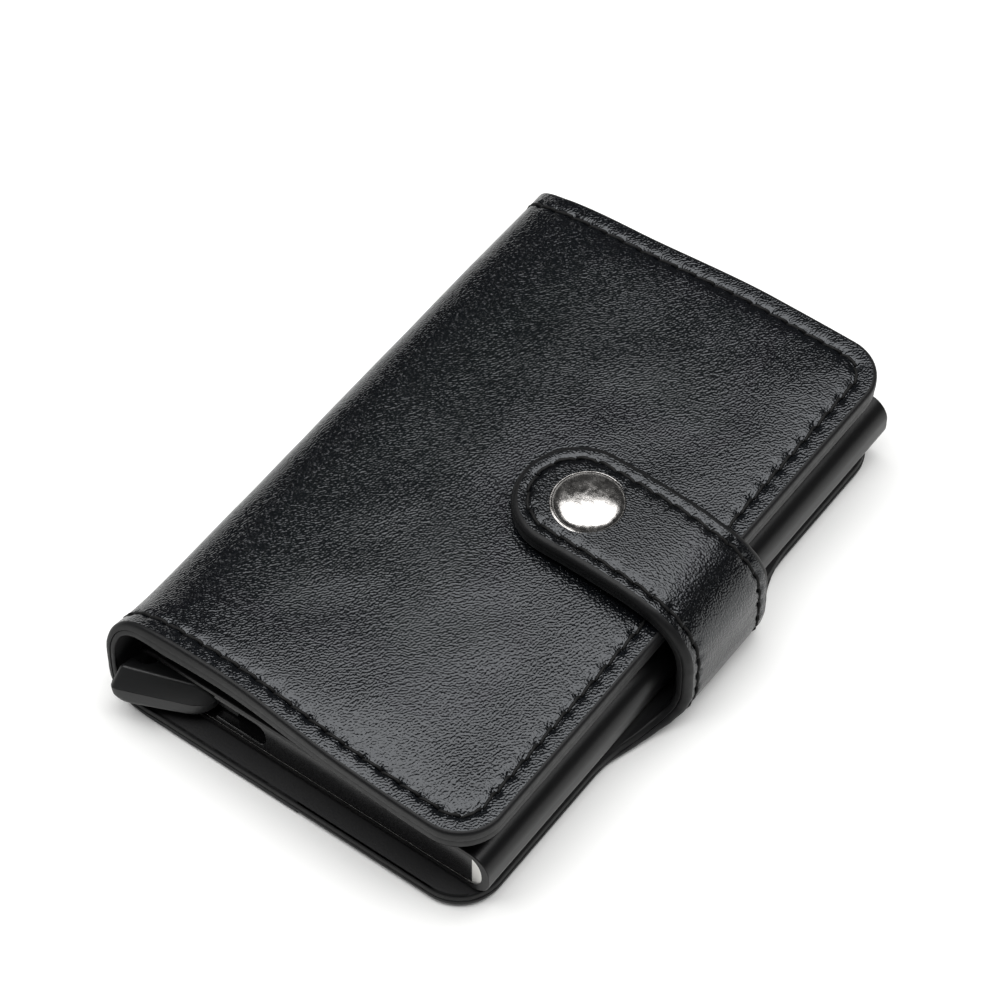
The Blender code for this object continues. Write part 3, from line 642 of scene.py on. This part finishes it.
def flap_grid(inset, spacing):
    """The whole flap, this far in from its edges."""
    s_end, radius = flap_sheet.length - inset, panel_corner - inset
    return panel_grid(0, s_end, near_y + inset, far_y - inset, radius, spacing)


grid = flap_grid(edge_round, sheet_spacing)
off, along = seam_field(flap_seam, grid)
puff = flap_puff * smooth(grid.s, 9 * MM, 30 * MM)
tops = stitched(off, along, seam_pitch(flap_seam), puff, flap_puff_run, flap_crown, panel_inset)
waves = np.array([
    noise.noise((a * 60, b * 45, 0.0)) + 0.5 * noise.noise((a * 140, b * 120, 4.0))
    for a, b in zip(grid.s, grid.y)
])
tops = tops + waves * wave_height * np.clip(off / wave_start, 0, 1) * smooth(grid.s, 0, 12 * MM)
flap_front = cover("flap_front", flap_sheet, grid, tops, edge_round, flap_leather)
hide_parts("flap_cover", "flap_padding")
sewn("flap_thread", flap_fold, flap_sheet, [flap_seam], "flap_stitching")

# Flap lining: a thin smooth leather glued and sewn to the inside of the flap. Its cut edge is painted
# together with the cover's.
flap_inside = inner("flap_inside", flap_sheet, flap_grid(lining_inset, lining_spacing))
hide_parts("flap_lining")

# Back: the same leather, from the middle of the spine down and under the case. It lies flat on the
# table, with a thin board between it and its lining.
back_seam_x = 0.0
back_spacing = 0.6 * MM
back_puff_run = 3.2 * MM
back_section = [
    (-33.4, 9.0), (-33.4, 6.8), (-33.15, 4.6), (-32.2, 2.4), (-30.2, 0.75), (-27.6, 0.1), (-24, 0),
    (back_seam_x, 0),
]
back_sheet = Sheet(
    back_section, back_section, side=-1, thickness=[(0, 1.6), (8, 1.8), (16, 2.6), (80, 2.6)]
)
back_fold = (("case_and_back", "spine"), (-26.5, 0.0), (-33.4, 7.5))
back_seams = [
    even_line([(0, near_y + panel_inset), (back_sheet.length, near_y + panel_inset)], seam_step),
    even_line([(back_sheet.length, far_y - panel_inset), (0, far_y - panel_inset)], seam_step),
]


def back_grid(inset, spacing):
    """The left half of the back, cut off square at both ends."""
    low, high = near_y + inset, far_y - inset
    rows = np.linspace(low, high, int((high - low) / spacing))
    columns = np.linspace(0, back_sheet.length, int(back_sheet.length / spacing))
    return plain_grid(*np.meshgrid(columns, rows, indexing="ij"), True, True)


grid = back_grid(edge_round, back_spacing)
tops = sewn_heights(grid, back_seams, 0.0, back_puff_run, 0.0, panel_inset)
back_left = cover("back_left", back_sheet, grid, tops, edge_round, flap_leather)
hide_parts("back_cover", "spine_cover")
sewn("spine_thread", back_fold, back_sheet, back_seams, "spine_stitching_near", "spine_stitching_far")
back_inside_left = inner("back_inside_left", back_sheet, back_grid(lining_inset, lining_spacing))
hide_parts("back_lining", "spine_lining")

# Strap's root: on the right the back runs out into the strap in two easy curves, turns up beside the
# case, and goes on to the middle of the strap's side.
strap_middle = 0.3 * MM
strap_half = 9.4 * MM
strap_join_z = 11.0
strap_lean, strap_spread = 1.0 * MM, 0.06
root_s = 30.0 * MM
root_reach, column_growth = 24 * MM, 1.6
root_seam_inset, root_rise = 2.3 * MM, 1 * MM
root_section = [
    (back_seam_x, 0), (24, 0), (29, 0), (31.2, 0.25), (33.3, 1.5), (34.7, 3.8), (35.25, 6.6), (35.3, 9.0),
    (35.3, strap_join_z),
]
root_fold = (("case_and_back", "strap_side"), (30.0, 0.0), (35.3, 7.0))


def strap_drift(turned_up):
    """The strap leans a little toward the far end and spreads where it stands beside the case."""
    def drift(s, y):
        return y + np.interp(s, *turned_up) * (strap_lean + strap_spread * (y - strap_middle))
    return drift


root_sheet = Sheet(
    root_section, root_section, side=-1, thickness=[(0, 2.6), (28, 2.6), (36, 2.4), (80, 2.4)],
    drift=strap_drift(((30 * MM, 40 * MM), (0, 1))),
)
flare_corners = [
    (0, 24.2), (0.12, 22.1), (0.5, 20.3), (1.2, 18.3), (2.4, 15.7), (3.7, 12.9), (5.4, 10.9), (7.5, 9.8),
    (10.0, 9.4), (40, 9.4),
]
flare = even_line(np.array(flare_corners) * MM, 0.2 * MM)


def flare_half(s):
    """Half the width of the strap's root, a way out from the back's edge."""
    return np.interp(s - root_s, flare[:, 0], flare[:, 1])


def root_grid(inset, spacing):
    """The right half of the back, with the strap's root growing from the middle of its edge."""
    low, high, radius = near_y + inset, far_y - inset, panel_corner - inset
    s_edge = root_s - inset
    corner = corner_rows(radius)
    wide = flare_half(np.array(root_s)) - inset
    root_low, root_high = strap_middle - wide, strap_middle + wide
    near_rows = np.concatenate([low + corner, np.arange(low + radius, root_low - spacing / 2, spacing)])
    root_rows = np.linspace(root_low, root_high, int(2 * wide / spacing))
    far_straight = np.arange(high - radius, root_high + spacing / 2, -spacing)
    far_rows = np.concatenate([high - corner, far_straight])[::-1]
    rows = np.concatenate([near_rows, root_rows, far_rows])
    ends = row_ends(rows, s_edge, low, high, radius)
    s = np.linspace(0, 1, int(s_edge / spacing))[:, None] * ends[None, :]
    y = np.broadcast_to(rows, s.shape)
    index = np.arange(s.size).reshape(s.shape)
    first, last = len(near_rows), len(near_rows) + len(root_rows) - 1
    growth = np.linspace(0, 1, int(root_reach / spacing))[1:] ** column_growth
    out_s = s_edge + (root_sheet.length - s_edge) * growth
    half_width = np.minimum(flare_half(out_s + inset), wide + inset) - inset
    strap_s = np.broadcast_to(out_s[:, None], (len(out_s), len(root_rows)))
    strap_y = strap_middle + half_width[:, None] * ((root_rows - strap_middle) / wide)[None, :]
    strap_index = s.size + np.arange(strap_s.size).reshape(strap_s.shape)
    joined = np.vstack([index[-1:, first:last + 1], strap_index])
    rim_parts = [
        index[:, 0], index[-1, 1:first + 1], strap_index[:, 0], strap_index[-1, 1:-1],
        strap_index[::-1, -1], index[-1, last:], index[-2::-1, -1], index[0, -2:0:-1],
    ]
    return Grid(
        np.concatenate([s.reshape(-1), strap_s.reshape(-1)]),
        np.concatenate([y.reshape(-1), strap_y.reshape(-1)]),
        np.vstack([squares(index), squares(joined)]),
        np.concatenate(rim_parts),
        np.concatenate([np.full(len(part), order in (3, 7)) for order, part in enumerate(rim_parts)]),
    )


def root_seam():
    """The seam round the near half of the back's right side and up the strap's near edge."""
    edge = [(0, near_y)]
    for angle in np.linspace(0, math.pi / 2, seam_turns):
        in_s, in_y = panel_corner * (1 - math.sin(angle)), panel_corner * (1 - math.cos(angle))
        edge.append((root_s - in_s, near_y + in_y))
    edge += [(root_s + a, strap_middle - b) for a, b in flare if a < root_sheet.length - root_s]
    edge = even_line(edge, 0.3 * MM)
    ahead = unit(np.gradient(edge, axis=0))
    inset = np.interp(edge[:, 0], [root_s, root_s + 8 * MM], [panel_inset, root_seam_inset])[:, None]
    line = edge + np.stack([-ahead[:, 1], ahead[:, 0]], axis=1) * inset
    line[-1, 0] = root_sheet.length
    return even_line(line, seam_step)


near_root_seam = root_seam()
far_root_seam = near_root_seam[::-1] * (1, -1) + (0, 2 * strap_middle)
far_root_seam[:, 1] += np.interp(
    far_root_seam[:, 1], [strap_middle + 20 * MM, strap_middle + 30 * MM],
    [0, far_y + near_y - 2 * strap_middle],
)
root_seams = [near_root_seam, far_root_seam]
grid = root_grid(strap_round, back_spacing)
tops = sewn_heights(grid, root_seams, 0.0, back_puff_run, 0.0, panel_inset)
tops = np.minimum(tops, np.interp(grid.s, [root_s, root_s + 6 * MM], [0, root_rise]))
back_right = cover("back_right", root_sheet, grid, tops, strap_round, strap_leather)
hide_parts("strap_side_cover")
sewn("root_thread", root_fold, root_sheet, root_seams, "strap_stitching_near", "strap_stitching_far")
back_inside_right = inner("back_inside_right", root_sheet, root_grid(lining_inset, lining_spacing))
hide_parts("strap_side_lining")

# Strap: from the middle of its side it turns over the flap's edge and lies on the front, with a
# round end that carries the snap.
strap_section = [
    (35.3, strap_join_z), (35.25, 13.2), (34.9, 15.6), (33.9, 18.2), (32.0, 20.7), (29.2, 22.7), (25.5, 23.9),
    (21, 24.4), (16, 24.6), (11, 24.55), (7, 24.45), (3.5, 24.3), (0.2, 24.1),
]
strap_sheet = Sheet(
    strap_section, strap_section, side=-1, thickness=[(0, 2.4), (10, 2.4), (22, 2.8), (80, 2.8)],
    drift=strap_drift(((5 * MM, 16 * MM), (1, 0))),
)
strap_inset = 2.4 * MM
strap_low, strap_high = strap_middle - strap_half, strap_middle + strap_half
strap_puff, strap_puff_run, strap_crown = 0.16 * MM, 2.2 * MM, 0.02 * MM
strap_fold = (("strap_side", "strap_tip"), (35.4, 13.0), (27.5, 23.6))
strap_seam = rounded_seam(
    strap_sheet.length - strap_inset, strap_low + strap_inset, strap_high - strap_inset,
    strap_half - strap_inset - 0.01 * MM,
)


def strap_grid(inset, spacing):
    """The strap's end, this far in from its edges, with almost no flat between its two corners."""
    s_end, radius = strap_sheet.length - inset, strap_half - inset - 0.02 * MM
    return panel_grid(0, s_end, strap_low + inset, strap_high - inset, radius, spacing)


grid = strap_grid(strap_round, 0.35 * MM)
tops = sewn_heights(grid, [strap_seam], strap_puff, strap_puff_run, strap_crown, strap_inset)
strap_front = cover("strap_front", strap_sheet, grid, tops, strap_round, strap_leather)
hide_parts("strap_tip_cover")
sewn("strap_thread", strap_fold, strap_sheet, [strap_seam], "strap_tip_stitching")
strap_inside = inner("strap_inside", strap_sheet, strap_grid(lining_inset, 0.7 * MM))
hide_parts("strap_tip_lining")

# Pockets on the flap's inside: one for notes and two for cards, each a thin woven cloth with a
# turned hem along its mouth, sewn down with the flap's own seam.
pocket_cloth, shader, tree = new_look("pocket_cloth")
fill(tree, shader, Base_Color=(0.012, 0.012, 0.013, 1), Roughness=0.72)
place = sheet_place(tree)
weave = []
for turn in (45, 135):
    turned = node(tree, "Mapping", Vector=place, Rotation=(0, 0, math.radians(turn)))
    threads = node(tree, "TexWave", Vector=turned.outputs["Vector"], Scale=9.0, Distortion=0.4, Detail=1.0)
    weave.append(threads.outputs["Fac"])
bumped(tree, shader, maths(tree, "ADD", *weave), 0.5, 0.00008)
pocket_mouth = 15.5 * MM
pocket_stagger = 14.0 * MM
pocket_side, pocket_foot, pocket_corner = 3.2 * MM, 2.8 * MM, 4 * MM
pocket_gap, pocket_layer = 0.15, 0.5
cloth_thickness, cloth_round, cloth_slack = 0.36 * MM, 0.12 * MM, 0.075 * MM
hem_width, hem_height = 2.2 * MM, 0.18 * MM
for order, pocket_name in enumerate(("note_pocket", "card_pocket_upper", "card_pocket_lower")):
    mouth = pocket_mouth + pocket_stagger * order
    grid = panel_grid(
        mouth, flap_sheet.length - pocket_foot, near_y + pocket_side, far_y - pocket_side, pocket_corner,
        lining_spacing, open_start=False,
    )
    past_hem = np.clip((grid.s - mouth) / hem_width, 0, 1)
    hem = hem_height * np.sqrt(np.maximum(1 - (past_hem * 2 - 1) ** 2, 0)) * (past_hem < 1)
    slack = cloth_slack * np.sin(np.pi * even_share(grid.s, grid.y)) * (past_hem > 0)
    lift = flap_sheet.thickness(grid.s) + (pocket_gap + pocket_layer * order) * MM
    pocket = sheet_mesh(
        pocket_name + "_cloth", flap_sheet, grid, -lift, -lift - cloth_thickness - hem - slack,
        cloth_round, cloth_round, (pocket_cloth,) * 3,
    )
    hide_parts(pocket_name)

# Aluminium case: an extruded and black anodised tube, cut to length afterwards. Its thick sides are
# milled back a little inside a thin black rim, so that bare metal shows at both ends.
anodised = plain_look(
    "black_anodised", (0.006, 0.006, 0.0063), (0.28, 0.42), 1.0, (0.05, 0.00002), metallic=0.2,
    specular=0.32, detail=3.0, break_up=0.7, stretch=(3000, 40, 3000),
)
bare_metal = plain_look(
    "bare_aluminium", (0.86, 0.85, 0.82), (0.26, 0.5), 900, (0.4, 0.00003), metallic=1.0, detail=3.0,
    stretch=(1, 1, 14),
)
case_half_width, case_half_height = 30.7, 4.2
case_middle_z = 7.35
case_end = 49.0
mill_depth, rim_ease = 0.3, 0.12
corner_points = 10
small_round_steps, small_round_angle = 3, math.radians(30)
notch_half = 3.1


def rounded_box(half_width, half_height, corner_x, corner_z):
    """A closed outline, in mm, with elliptical corners."""
    outline = []
    for quarter, (side_x, side_z) in enumerate(((1, 1), (-1, 1), (-1, -1), (1, -1))):
        centre_x, centre_z = side_x * (half_width - corner_x), side_z * (half_height - corner_z)
        for step in range(corner_points + 1):
            angle = math.pi / 2 * (quarter + step / corner_points)
            outline.append((centre_x + corner_x * math.cos(angle), centre_z + corner_z * math.sin(angle)))
    return outline


def skin(name, points, faces, materials, bare_faces=()):
    """One object from points in mm, with its normals turned outward."""
    piece = shaped(name, [(x * MM, y * MM, z * MM) for x, y, z in points], faces, *materials)
    for face in bare_faces:
        piece.data.polygons[face].material_index = 1
    work = bmesh.new()
    work.from_mesh(piece.data)
    bmesh.ops.recalc_face_normals(work, faces=work.faces[:])
    work.to_mesh(piece.data)
    work.free()
    return piece


def band(here, there, ring):
    """Faces between two loops of points."""
    return [(here + k, here + (k + 1) % ring, there + (k + 1) % ring, there + k) for k in range(ring)]


def bands(loop_count, ring, first=0):
    """Faces between loops of points that follow each other."""
    starts = [first + loop * ring for loop in range(loop_count)]
    return [face for here, there in zip(starts, starts[1:]) for face in band(here, there, ring)]


def closed_bands(loop_count, ring, first=0):
    """The same faces, and one over each end."""
    last = first + (loop_count - 1) * ring
    ends = [tuple(range(start, start + ring)) for start in (first, last)]
    return bands(loop_count, ring, first) + ends


def settled(piece):
    """The piece's modifiers made part of its mesh."""
    shape = bpy.data.meshes.new_from_object(piece.evaluated_get(bpy.context.evaluated_depsgraph_get()))
    piece.modifiers.clear()
    piece.data = shape


def eased(piece, width):
    """Small rounds along the piece's sharp edges, and smooth shading over them."""
    bevel = piece.modifiers.new("eased", "BEVEL")
    bevel.width = width * MM
    bevel.segments = small_round_steps
    bevel.limit_method = "ANGLE"
    bevel.angle_limit = small_round_angle
    bevel.harden_normals = True
    piece.data.shade_smooth()
    settled(piece)


outer = rounded_box(case_half_width, case_half_height, 3.3, 3.4)
outer_eased = rounded_box(case_half_width - rim_ease, case_half_height - rim_ease, 3.2, 3.3)
rim_inside = rounded_box(29.5, 3.4, 2.3, 3.3)
cavity_outline = rounded_box(27.7, 3.29, 0.9, 1.2)
loops = []
for end in (-1, 1):
    rim_y, milled_y = end * case_end, end * (case_end - mill_depth)
    end_loops = [
        (outer, end * (case_end - rim_ease)), (outer_eased, rim_y), (rim_inside, rim_y),
        (rim_inside, milled_y), (cavity_outline, milled_y),
    ]
    loops += end_loops if end < 0 else end_loops[::-1]
points = [(x, y, z + case_middle_z) for outline, y in loops for x, z in outline]
ring = len(outer)
last_loop = (len(loops) - 1) * ring
faces = bands(len(loops), ring) + band(last_loop, 0, ring)
milled_faces = [face for face in range(len(faces)) if face // ring in (3, 5)]
case_tube = skin("case_tube", points, faces, (anodised, bare_metal), milled_faces)
notch_x, notch_y = (-32.0, -26.8), (-50.0, -31.0)
notch_z = (case_middle_z - notch_half, case_middle_z + notch_half)
notch_corners = [(x * MM, y * MM, z * MM) for x in notch_x for y in notch_y for z in notch_z]
notch_faces = [(0, 1, 3, 2), (4, 6, 7, 5), (0, 4, 5, 1), (2, 3, 7, 6), (0, 2, 6, 4), (1, 5, 7, 3)]
cutter = shaped("lever_notch", notch_corners, notch_faces, anodised, bare_metal)
cutter.data.polygons.foreach_set("material_index", np.ones(len(notch_faces), np.int32))
cut = case_tube.modifiers.new("cut", "BOOLEAN")
cut.operation = "DIFFERENCE"
cut.solver = "EXACT"
cut.object = cutter
settled(case_tube)
bpy.data.objects.remove(cutter)
case_tube.data.shade_smooth()
case_tube.data.set_sharp_from_angle(angle=math.radians(35))
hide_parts("case_shell")
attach(case_tube, "case_and_back")

# End plug: a glossy moulded plug, pressed into the near end. Its slot lets the lever through, and two
# lugs behind it hold the lever's pin.
glossy = plain_look("glossy_black", (0.006, 0.006, 0.0065), (0.12, 0.24), 260, detail=2.0, break_up=0.5)
plug_left, plug_right = -16.9, 27.75
plug_half = 3.15
plug_near, plug_far = -48.75, -46.5
slot_end, slot_half = -7.9, 2.2
slot_round = slot_half * 0.6
slot_straight = slot_end - slot_round
pivot_x, pivot_y = 22.0, -44.0
lug_radius, lug_shift = 3, 0.4
outline = [
    (plug_right, -plug_half), (plug_right, plug_half), (plug_left, plug_half), (plug_left, slot_half),
    (slot_straight, slot_half),
]
for step in range(1, 8):
    angle = math.pi * step / 8
    outline.append((slot_straight + slot_round * math.sin(angle), slot_half * math.cos(angle)))
outline += [(slot_straight, -slot_half), (plug_left, -slot_half), (plug_left, -plug_half)]
points = [(x, y, z + case_middle_z) for y in (plug_near, plug_far) for x, z in outline]
faces = closed_bands(2, len(outline))
for lug_heights in ((-3.15, -2.15), (2.15, 3.15)):
    lug = [(pivot_x - lug_radius, plug_far - lug_shift), (pivot_x + lug_radius, plug_far - lug_shift)]
    for angle in np.linspace(0, math.pi, 17):
        lug_x, lug_y = lug_radius * math.cos(angle), lug_radius * math.sin(angle)
        lug.append((pivot_x + lug_x, pivot_y - lug_shift + lug_y))
    faces += closed_bands(2, len(lug), len(points))
    points += [(x, y, z + case_middle_z) for z in lug_heights for x, y in lug]
end_plug = skin("end_plug", points, faces, (glossy,))
eased(end_plug, 0.18)
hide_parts("end_cap")
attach(end_plug, "case_and_back")

# Thumb lever: a moulded arm that turns on a steel pin at the strap's side, with a stair of ribs
# behind the cards and a broad tab with two slopes for the thumb.
lever_plastic = plain_look(
    "lever_plastic", (0.012, 0.0124, 0.0128), (0.32, 0.46), 2600, (0.35, 0.00002), specular=0.4, detail=2.0
)
tab_back, tab_low = -46.0, 4.65
nose_x, nose_z, nose_reach, nose_height = -27.9, 7.5, 3.2, 2.85
tab_end, tab_end_run = -20.6, 3.25
crease_depth, crease_half = 0.16, 0.09
thinnest = 0.15
straight_places = (-26, -24, -22, -20.6, -19.8, -19.1, -18.5, -18, -17.65, -17.45, -17.38)


def rounded(corners, reach):
    """A closed outline with each corner rounded over its own reach, both ways along its sides."""
    outline = []
    corners = np.array(corners)
    for before, here, after, size in zip(np.roll(corners, 1, 0), corners, np.roll(corners, -1, 0), reach):
        start = here + (before - here) / max(np.linalg.norm(before - here), 1e-6) * size
        end = here + (after - here) / max(np.linalg.norm(after - here), 1e-6) * size
        for t in np.linspace(0, 1, 5):
            outline.append((1 - t) ** 2 * start + 2 * t * (1 - t) * here + t ** 2 * end)
    return outline


nose = [
    (nose_x - nose_reach * math.sin(a), nose_z - nose_height * math.cos(a))
    for a in np.linspace(math.pi / 2, 0, 12)
]
points = []
for x, low_z in nose + [(x, tab_low) for x in straight_places]:
    bow = 1 - math.sqrt(1 - min(max(-30.1 - x, 0), 1) ** 2)
    top_z = 10.1 - 1.6 * bow - max(x + 20.2, 0) ** 1.5 * 0.55
    crease_z = max(min(7.3, top_z - 0.3), low_z + thinnest)
    top_z = max(top_z, crease_z + thinnest)
    top_y = -52.5 + 0.3426 * (x + 31) + 0.9 * bow
    crease_y = -54.8 + 0.3985 * (x + 30.5) + 1.2 * bow
    low_y = -54.3 + 0.444 * (x - nose_x) + 1.2 * bow + 1.4 * max(low_z - tab_low, 0) / nose_height
    end = 1 - math.sqrt(1 - min(max((x - tab_end) / tab_end_run, 0), 1) ** 2)
    crease_y, low_y, low_z = crease_y + 1.6 * end, low_y + 2.6 * end, low_z + 1.6 * end
    size = min((top_z - low_z) / 5.8, 1)
    back_y = np.interp(x, [-28.2, -26.6], [-49.9, tab_back])
    back_top = max(top_z - 0.85 * (back_y - top_y) / 2, low_z + 0.4)
    corners = [
        (back_y, back_top), (top_y, top_z), (crease_y, crease_z + crease_half),
        (crease_y + crease_depth, crease_z), (crease_y, crease_z - crease_half), (low_y, low_z),
        (back_y, low_z),
    ]
    tab_section = rounded(corners, (0.3, 0.5 * size, 0.02, 0.02, 0.02, 1.0 * size, 0.3))
    points += [(x, y, z) for y, z in tab_section]
ring = len(tab_section)
thumb_tab = skin("thumb_tab", points, closed_bands(len(points) // ring, ring), (lever_plastic,))
thumb_tab.data.shade_smooth()
thumb_tab.data.set_sharp_from_angle(angle=math.radians(50))
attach(thumb_tab, "lever")
points, faces = [], []
arm_left, arm_far, arm_half = -27.2, -43.4, 1.9
rib_count, rib_step, rib_gap = 5, 7.6, 0.05
stair_low, stair_height = case_middle_z - 2.8, 5.6
eye_radius, hole_radius, eye_half, eye_steps = 2.1, 1.05, 1.8, 32


def bar(x_ends, y_ends, z_ends):
    """Adds a straight bar to the lever's points and faces."""
    plan = [(x_ends[0], y_ends[0]), (x_ends[1], y_ends[0]), (x_ends[1], y_ends[1]), (x_ends[0], y_ends[1])]
    faces.extend(closed_bands(2, 4, len(points)))
    points.extend((x, y, z) for z in z_ends for x, y in plan)


arm_heights = (case_middle_z - arm_half, case_middle_z + arm_half)
bar((arm_left, pivot_x), (-46.1, arm_far), arm_heights)
bar((arm_left, -14.0), (-47.2, arm_far), arm_heights)
for rib in range(rib_count):
    rib_low = stair_low + stair_height * rib / rib_count
    rib_high = stair_low + stair_height * (rib + 1) / rib_count - rib_gap
    bar((arm_left + rib_step * rib, pivot_x - eye_radius), (-43.6, -41.4), (rib_low, rib_high))
eye = len(points)
for radius in (eye_radius, hole_radius):
    points += [
        (pivot_x + radius * math.cos(a), pivot_y + radius * math.sin(a), z)
        for z in (case_middle_z - eye_half, case_middle_z + eye_half)
        for a in np.linspace(0, 2 * math.pi, eye_steps + 1)[:-1]
    ]
for here, there in ((0, 1), (2, 3), (0, 2), (1, 3)):
    faces += band(eye + here * eye_steps, eye + there * eye_steps, eye_steps)
thumb_lever = skin("thumb_lever", points, faces, (lever_plastic,))
eased(thumb_lever, 0.16)
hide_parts("eject_lever")
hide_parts("eject_lever")
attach(thumb_lever, "lever")


# Small metal: the lever's steel pin, turned and bright, and the snap's stud, post and socket, pressed
# from brass and plated in nickel. Each is a plain part of the frame and only gets its finish here.
def finish_node(node_name, material):
    """Gives a part of the frame its finish."""
    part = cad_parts[node_name]
    part.data.materials.clear()
    part.data.materials.append(material)


pin_steel = plain_look("pin_steel", (0.6, 0.6, 0.6), (0.2, 0.4), 1500, (0.5, 0.00001), metallic=1.0)
finish_node("lever_pin", pin_steel)
nickel = plain_look("plain_nickel", (0.6, 0.58, 0.55), (0.18, 0.34), 900, (0.5, 0.00001), metallic=1.0)
for metal_part in ("snap_stud", "snap_post", "snap_socket"):
    finish_node(metal_part, nickel)

# Felt strips, tape and board: thin black felt glued inside the tube, the white tape that holds the
# tube to the back, and the grey card between the back's two skins.
felt = plain_look("black_felt", (0.018, 0.018, 0.018), (0.9, 1.0), 2200, (0.5, 0.00018))
for pad in ("grip_pad_back", "grip_pad_front"):
    finish_node(pad, felt)
white_tape = plain_look("white_tape", (0.72, 0.72, 0.7), (0.6, 0.75), 700, (0.5, 0.00002))
finish_node("case_adhesive", white_tape)
grey_board = plain_look("grey_board", (0.22, 0.21, 0.2), (0.8, 0.95), 1200, (0.5, 0.00004))
finish_node("back_board", grey_board)

# Snap cap: a domed brass cap plated in dark nickel, with a thin rolled rim round a polished dome. It
# is clenched through the strap to the spring socket under it.
dome_metal, shader, tree = new_look("polished_dome")
place = node(tree, "TexCoord").outputs["Object"]
smears = node(tree, "TexNoise", Vector=place, Scale=900.0, Detail=6.0, Roughness=0.7).outputs["Fac"]
tarnish = node(tree, "TexNoise", Vector=place, Scale=380.0, Detail=4.0, Roughness=0.6).outputs["Fac"]
spread = node(tree, "MapRange", Value=tarnish, From_Min=0.36, From_Max=0.6).outputs["Result"]
tone = node(tree, "Mix", data_type="RGBA", Factor=spread, A=(0.3, 0.29, 0.28, 1), B=(0.64, 0.62, 0.6, 1))
fill(tree, shader, Base_Color=tone.outputs["Result"], Metallic=1.0)
glossed(tree, shader, smears, 0.12, 0.34, 0.35, 0.65)
bumped(tree, shader, smears, 0.5, 0.00006)
snap_x, snap_y, snap_base = 11.5, 0.3, 24.3
dome_radius, dome_height, dome_base = 5.25, 1.7, 0.3
pole_radius = 0.02
profile = [
    (max(dome_radius * math.sin(a), pole_radius), dome_base + dome_height * math.cos(a))
    for a in np.linspace(0, math.radians(84), 20)
]
profile += [
    (5.3, 0.32), (5.4, 0.4), (5.5, 0.36), (5.58, 0.25), (5.56, 0.1), (5.4, 0.02), (pole_radius, 0.02),
]
sides = 72
turns = [2 * math.pi * k / sides for k in range(sides)]
points = [
    (snap_x + r * math.cos(turn), snap_y + r * math.sin(turn), snap_base + z)
    for r, z in profile for turn in turns
]
snap_dome = skin("snap_dome", points, closed_bands(len(profile), sides), (dome_metal,))
snap_dome.data.shade_smooth()
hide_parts("snap_cap")
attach(snap_dome, "strap_tip")
